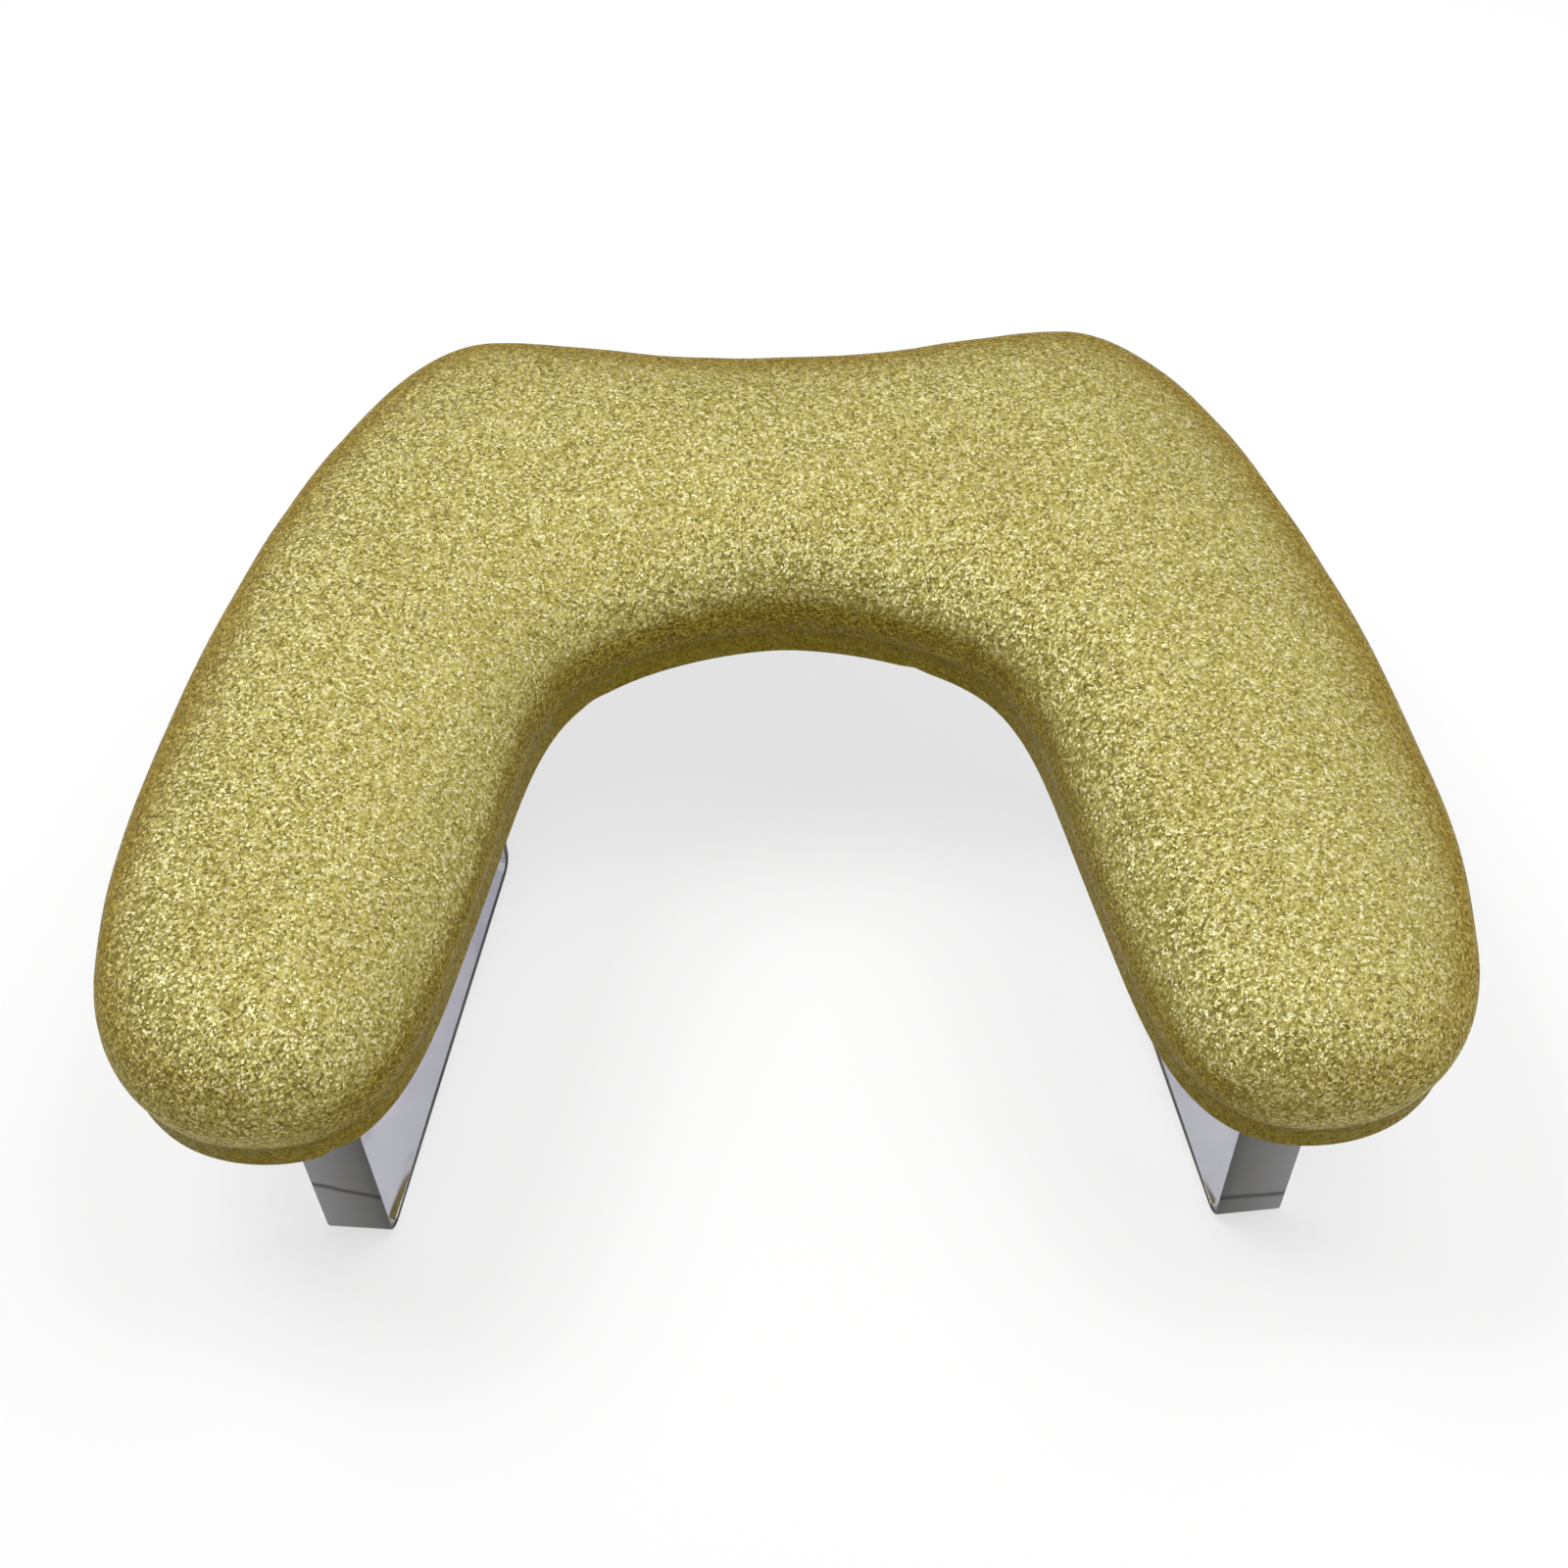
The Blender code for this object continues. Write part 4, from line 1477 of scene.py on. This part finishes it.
    def build(self) -> bpy.types.Object:
        """Model the leg.

        Returns:
            The leg in its place, with the point values that its finish reads.
        """
        matrix = self.matrix()
        section = self.cross_section()
        bm = bmesh.new()
        layers = [bm.verts.layers.float.new(name) for name in ("outer", "edge")]
        rings = []
        slant = math.tan(self.front_skew)
        for y, z, angle, skew in self.path():
            out = Vector((0, math.cos(math.radians(angle)), math.sin(math.radians(angle))))
            ring = []
            for across, deep, *values in section:
                spot = Vector((self.side.value * across, y - skew * slant * across, z))
                spot += out * (deep + self.roll(across, deep, y))
                point = bm.verts.new(matrix @ spot)
                for layer, value in zip(layers, values):
                    point[layer] = value
                ring.append(point)
            rings.append(ring)
        join_rings(bm, rings)
        bm.faces.new(rings[0])
        bm.faces.new(rings[-1])
        name = f"strip_leg_{self.side.word}"
        leg = link_piece(name, mesh_from(bm, name))
        bake_cut(leg, self.drill(self.height - 2 * self.thickness, self.height + self.thickness))
        shade(leg, self.sharp_angle)
        return leg

    def dress(self, leg: bpy.types.Object, material: bpy.types.Material) -> None:
        """Give the leg its finish and its place in the frame.

        Args:
            leg: the leg.
            material: its finish.
        """
        finish_with(leg, material)
        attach(leg, BODY)
        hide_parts(f"{self.side.word}_leg")


@dataclass
class Lining:
    """White cloth stapled under the board, drawn flat at its edge and at the legs, slack between."""

    plan: CushionPlan
    legs: Sequence[StripLeg]
    bottom: float = 0.0833
    thickness: float = 0.0006
    inset: float = 0.018
    slack: float = 0.0016
    taut_inset: float = 0.030
    free_width: float = 0.018
    beside_leg: tuple = (0.002, 0.022)
    crumple_rate: float = 45.0
    crumple_seed: float = 2.0
    crumple_range: tuple = (0.75, 0.5)
    steps: int = 14
    drill_reach: float = 0.004
    sharp_angle: float = 50.0
    outline: Optional[np.ndarray] = None

    def build(self) -> bpy.types.Object:
        """Model the lining.

        Returns:
            The lining, holed for the screws.
        """
        feet, spine, numbers = self.plan.ribs()
        along = spine - feet
        lengths = np.linalg.norm(along, axis=1)
        rows = []
        for share in np.linspace(0.0, 1.0, self.steps + 1):
            reach = self.inset + (lengths - self.inset) * share
            flat = feet + along / lengths[:, None] * reach[:, None]
            sag = np.array([self.sag(x, y, inset) for (x, y), inset in zip(flat, reach)])
            rows.append(np.concatenate([flat, (self.bottom - sag)[:, None]], axis=1))
        rows = np.array(rows)
        rows[-1] = settle_spine(rows[-1], numbers)
        corners, faces = grid_faces(rows, numbers)
        mesh = make_mesh("lining_cloth", corners, [face[::-1] for face in faces])
        lining = link_piece("lining_cloth", mesh)
        shell = lining.modifiers.new("cloth", "SOLIDIFY")
        shell.thickness = self.thickness
        shell.offset = -1.0
        apply_modifiers(lining)
        for leg in self.legs:
            bake_cut(lining, leg.drill(self.bottom - self.drill_reach, self.bottom + self.drill_reach))
        shade(lining, self.sharp_angle)
        self.outline = rows[0][:, :2]
        return lining

    def sag(self, x: float, y: float, inset: float) -> float:
        """How far the cloth hangs below its taut edge at a place.

        Args:
            x: place across the hand rest.
            y: place along it.
            inset: distance in from the edge.

        Returns:
            The distance in metres.
        """
        free = float(smooth_step(self.taut_inset, self.taut_inset + self.free_width, inset))
        for leg in self.legs:
            spot = leg.matrix().inverted() @ Vector((x, y, 0.0))
            beside = max(abs(abs(spot.x) - leg.width / 2) - leg.width / 2, 0.0)
            beside = max(beside, -spot.y, spot.y - leg.run)
            free *= float(smooth_step(*self.beside_leg, beside))
        least, more = self.crumple_range
        place = Vector((x * self.crumple_rate, y * self.crumple_rate, self.crumple_seed))
        return self.slack * free * (least + more * noise.noise(place))

    def dress(self, lining: bpy.types.Object) -> None:
        """Give the lining its finish and its place in the frame.

        Args:
            lining: the lining.
        """
        finish_with(lining, NonWovenLining().make())
        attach(lining, BODY)
        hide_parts("underside_lining")


@dataclass
class LegScrews:
    """Pan-head screws under the tabs of one leg."""

    leg: StripLeg
    gap: float = 0.0003
    radius: float = 0.0025
    length: float = 0.0126
    head_radius: float = 0.0048
    head_height: float = 0.0032
    head_flat: float = 0.0022
    head_edge: float = 0.001
    recess_width: float = 0.0012
    recess_span: float = 0.0052
    recess_depth: float = 0.0018
    recess_taper: float = 0.62
    threads: int = 15
    run_out: float = 0.001
    first_root: float = 0.0005
    root_share: float = 0.86
    point_share: float = 0.8
    dome_steps: int = 6
    sharp_angle: float = 35.0

    def profile(self) -> list:
        """Outline of the screw, from the middle of its head to its point.

        Returns:
            The points as (radius, height).
        """
        seat = self.leg.height - self.leg.thickness - self.gap
        dome = self.head_height - self.head_edge
        points = [(0, seat - self.head_height)]
        for step in range(self.dome_steps + 1):
            turn = math.radians(90 * step / self.dome_steps)
            radius = self.head_flat + (self.head_radius - self.head_flat) * math.sin(turn)
            points.append((radius, seat - self.head_edge - dome * math.cos(turn)))
        points += [(self.head_radius, seat), (self.radius, seat)]
        tip = seat + self.length
        pitch = (self.length - self.run_out) / self.threads
        for turn in range(self.threads):
            root = seat + self.first_root + pitch * turn
            points += [(self.radius * self.root_share, root), (self.radius, root + pitch / 2)]
        return points + [(self.radius * self.point_share, tip), (0, tip)]

    def recess(self, place: Vector) -> bpy.types.Object:
        """Cross-shaped tool that cuts the recess of one screw.

        Args:
            place: the screw's axis.

        Returns:
            The tool.
        """
        half, arm = self.recess_width / 2, self.recess_span / 2
        quarter = [Vector((half, arm, 0)), Vector((half, half, 0)), Vector((arm, half, 0))]
        turns = [Matrix.Rotation(math.radians(-90) * step, 3, "Z") for step in range(4)]
        outline = [turn @ point for turn in turns for point in quarter]
        bottom = self.leg.height - self.leg.thickness - self.gap - self.head_height
        bm = bmesh.new()
        rings = []
        top = bottom + self.recess_depth
        for share, height in ((1.0, bottom - self.gap), (1.0, bottom), (self.recess_taper, top)):
            lift = Vector((0, 0, height))
            rings.append([bm.verts.new(place + point * share + lift) for point in outline])
        join_rings(bm, rings)
        bm.faces.new(rings[0])
        bm.faces.new(rings[-1])
        return link_piece("recess", mesh_from(bm, "recess"))

    def build(self, material: bpy.types.Material) -> list:
        """Model and dress the screws.

        Args:
            material: their finish.

        Returns:
            The screws, in order to the rear.
        """
        screws = []
        for number, place in enumerate(self.leg.screw_places(), 1):
            label = f"{self.leg.side.word}_{number}"
            screw = link_piece(f"pan_screw_{label}", lathe(self.profile(), [place]))
            bake_cut(screw, self.recess(place))
            shade(screw, self.sharp_angle)
            finish_with(screw, material)
            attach(screw, BODY)
            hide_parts(f"screw_{label}")
            screws.append(screw)
        return screws


@dataclass
class CadNodes:
    """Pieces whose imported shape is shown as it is, with a finer finish."""

    finishes: dict = field(default_factory=dict)

    def dress(self, nodes: dict) -> int:
        """Assign a finish to every node whose name starts with a known word.

        Args:
            nodes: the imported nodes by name.

        Returns:
            How many nodes were dressed.
        """
        count = 0
        for name, node in nodes.items():
            for word, material in self.finishes.items():
                if name.startswith(word):
                    finish_with(node, material)
                    count += 1
        return count


@dataclass(frozen=True)
class Lamp:
    """A square soft lamp aimed at the object."""

    name: str
    spot: tuple
    size: float
    power: float
    aim: tuple = (0.0, 0.0, 0.08)

    def build(self) -> bpy.types.Object:
        """Hang the lamp.

        Returns:
            The lamp.
        """
        data = bpy.data.lights.new(self.name, "AREA")
        data.shape = "SQUARE"
        data.size = self.size
        data.energy = self.power
        lamp = bpy.data.objects.new(self.name, data)
        bpy.context.scene.collection.objects.link(lamp)
        lamp.location = self.spot
        toward = Vector(self.aim) - Vector(self.spot)
        lamp.rotation_euler = toward.to_track_quat("-Z", "Y").to_euler()
        return lamp


@dataclass
class Studio:
    """Pale floor, soft light and the photograph's camera."""

    frame_pixels: float = 1600.0
    focal_pixels: float = 2535.26
    sensor: float = 36.0
    pitch: float = 55.4996
    yaw: float = -0.8550
    roll: float = -1.8321
    spot: tuple = (0.00689, -0.48153, 0.76012)
    horizon: float = 0.30
    zenith: float = 0.48
    floor_reach: float = 4.0
    floor_cells: int = 8
    lamps: tuple = (
        Lamp("key_lamp", (-0.60, 0.30, 1.35), 0.7, 10.2),
        Lamp("fill_lamp", (0.90, -0.20, 0.60), 0.7, 1.8),
        Lamp("top_lamp", (0.50, 0.25, 1.55), 0.9, 9.4),
    )

    def floor(self) -> bpy.types.Object:
        """Lay the table top.

        Returns:
            The floor.
        """
        bm = bmesh.new()
        cells = self.floor_cells
        bmesh.ops.create_grid(bm, x_segments=cells, y_segments=cells, size=self.floor_reach)
        mesh = bpy.data.meshes.new("floor")
        bm.to_mesh(mesh)
        bm.free()
        floor = link_piece("floor", mesh)
        mesh.materials.append(PaleFloor().make())
        return floor

    def sky(self) -> None:
        """Light the room softly, more from above than from the sides."""
        world = bpy.data.worlds.new("room")
        world.use_nodes = True
        nodes, links = world.node_tree.nodes, world.node_tree.links
        height = nodes.new("ShaderNodeSeparateXYZ")
        links.new(nodes.new("ShaderNodeTexCoord").outputs["Generated"], height.inputs[0])
        level = nodes.new("ShaderNodeMapRange")
        links.new(height.outputs["Z"], level.inputs["Value"])
        level.inputs["To Min"].default_value = self.horizon
        level.inputs["To Max"].default_value = self.zenith
        links.new(level.outputs["Result"], nodes["Background"].inputs["Strength"])
        nodes["Background"].inputs["Color"].default_value = (*WHITE, 1.0)
        bpy.context.scene.world = world

    def camera(self) -> bpy.types.Object:
        """Stand the camera where the photograph was taken.

        Returns:
            The camera.
        """
        pitch, yaw, roll = (math.radians(angle) for angle in (self.pitch, self.yaw, self.roll))
        ahead = Vector((math.sin(yaw) * math.cos(pitch), math.cos(yaw) * math.cos(pitch), -math.sin(pitch)))
        level = Vector((math.cos(yaw), -math.sin(yaw), 0.0))
        above = level.cross(ahead)
        right = math.cos(roll) * level + math.sin(roll) * above
        up = math.cos(roll) * above - math.sin(roll) * level
        data = bpy.data.cameras.new("photo_camera")
        data.sensor_width = self.sensor
        data.lens = self.sensor * self.focal_pixels / self.frame_pixels
        camera = bpy.data.objects.new("photo_camera", data)
        bpy.context.scene.collection.objects.link(camera)
        turn = Matrix((right, up, -ahead)).transposed().to_4x4()
        camera.matrix_world = Matrix.Translation(self.spot) @ turn
        bpy.context.scene.camera = camera
        return camera

    def build(self) -> None:
        """Set up the whole studio."""
        self.floor()
        self.sky()
        for lamp in self.lamps:
            lamp.build()
        self.camera()
        bpy.context.scene.view_settings.view_transform = "Standard"


def main() -> None:
    """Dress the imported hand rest."""
    logging.basicConfig(level=logging.INFO, format="%(message)s")
    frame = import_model()

    Studio().build()
    LOG.info("studio set up")

    plan = CushionPlan()
    cover = CushionCover(plan)
    shape = cover.shape()
    piece = cover.build(shape)
    cover.dress(piece, GlitterLeather())
    log_piece(piece)
    pad = FoamPad()
    piece = pad.build(shape)
    pad.dress(piece)
    log_piece(piece)

    steel = ZincSteel().make()
    legs = [StripLeg(side) for side in Side]
    # Painted reflection lines, one across each front upright.
    painted_reflections = (PaintedReflectionLine(-0.1424, 0.0330, -0.35), PaintedReflectionLine(0.1500, 0.0172, -0.04))
    for leg, reflected_edge in zip(legs, painted_reflections):
        piece = leg.build()
        leg.dress(piece, PolishedStrip().make(reflected_edge))
        log_piece(piece)
        screws = LegScrews(leg).build(steel)
        LOG.info("%s: %d screws", leg.side.word, len(screws))

    lining = Lining(plan, legs)
    piece = lining.build()
    lining.dress(piece)
    log_piece(piece)

    kept = CadNodes({"base_board": Plywood().make(), "insert_nut": steel, "staple": steel})
    LOG.info("%d packed pieces dressed", kept.dress(frame["nodes"]))


if __name__ == "__main__":
    main()
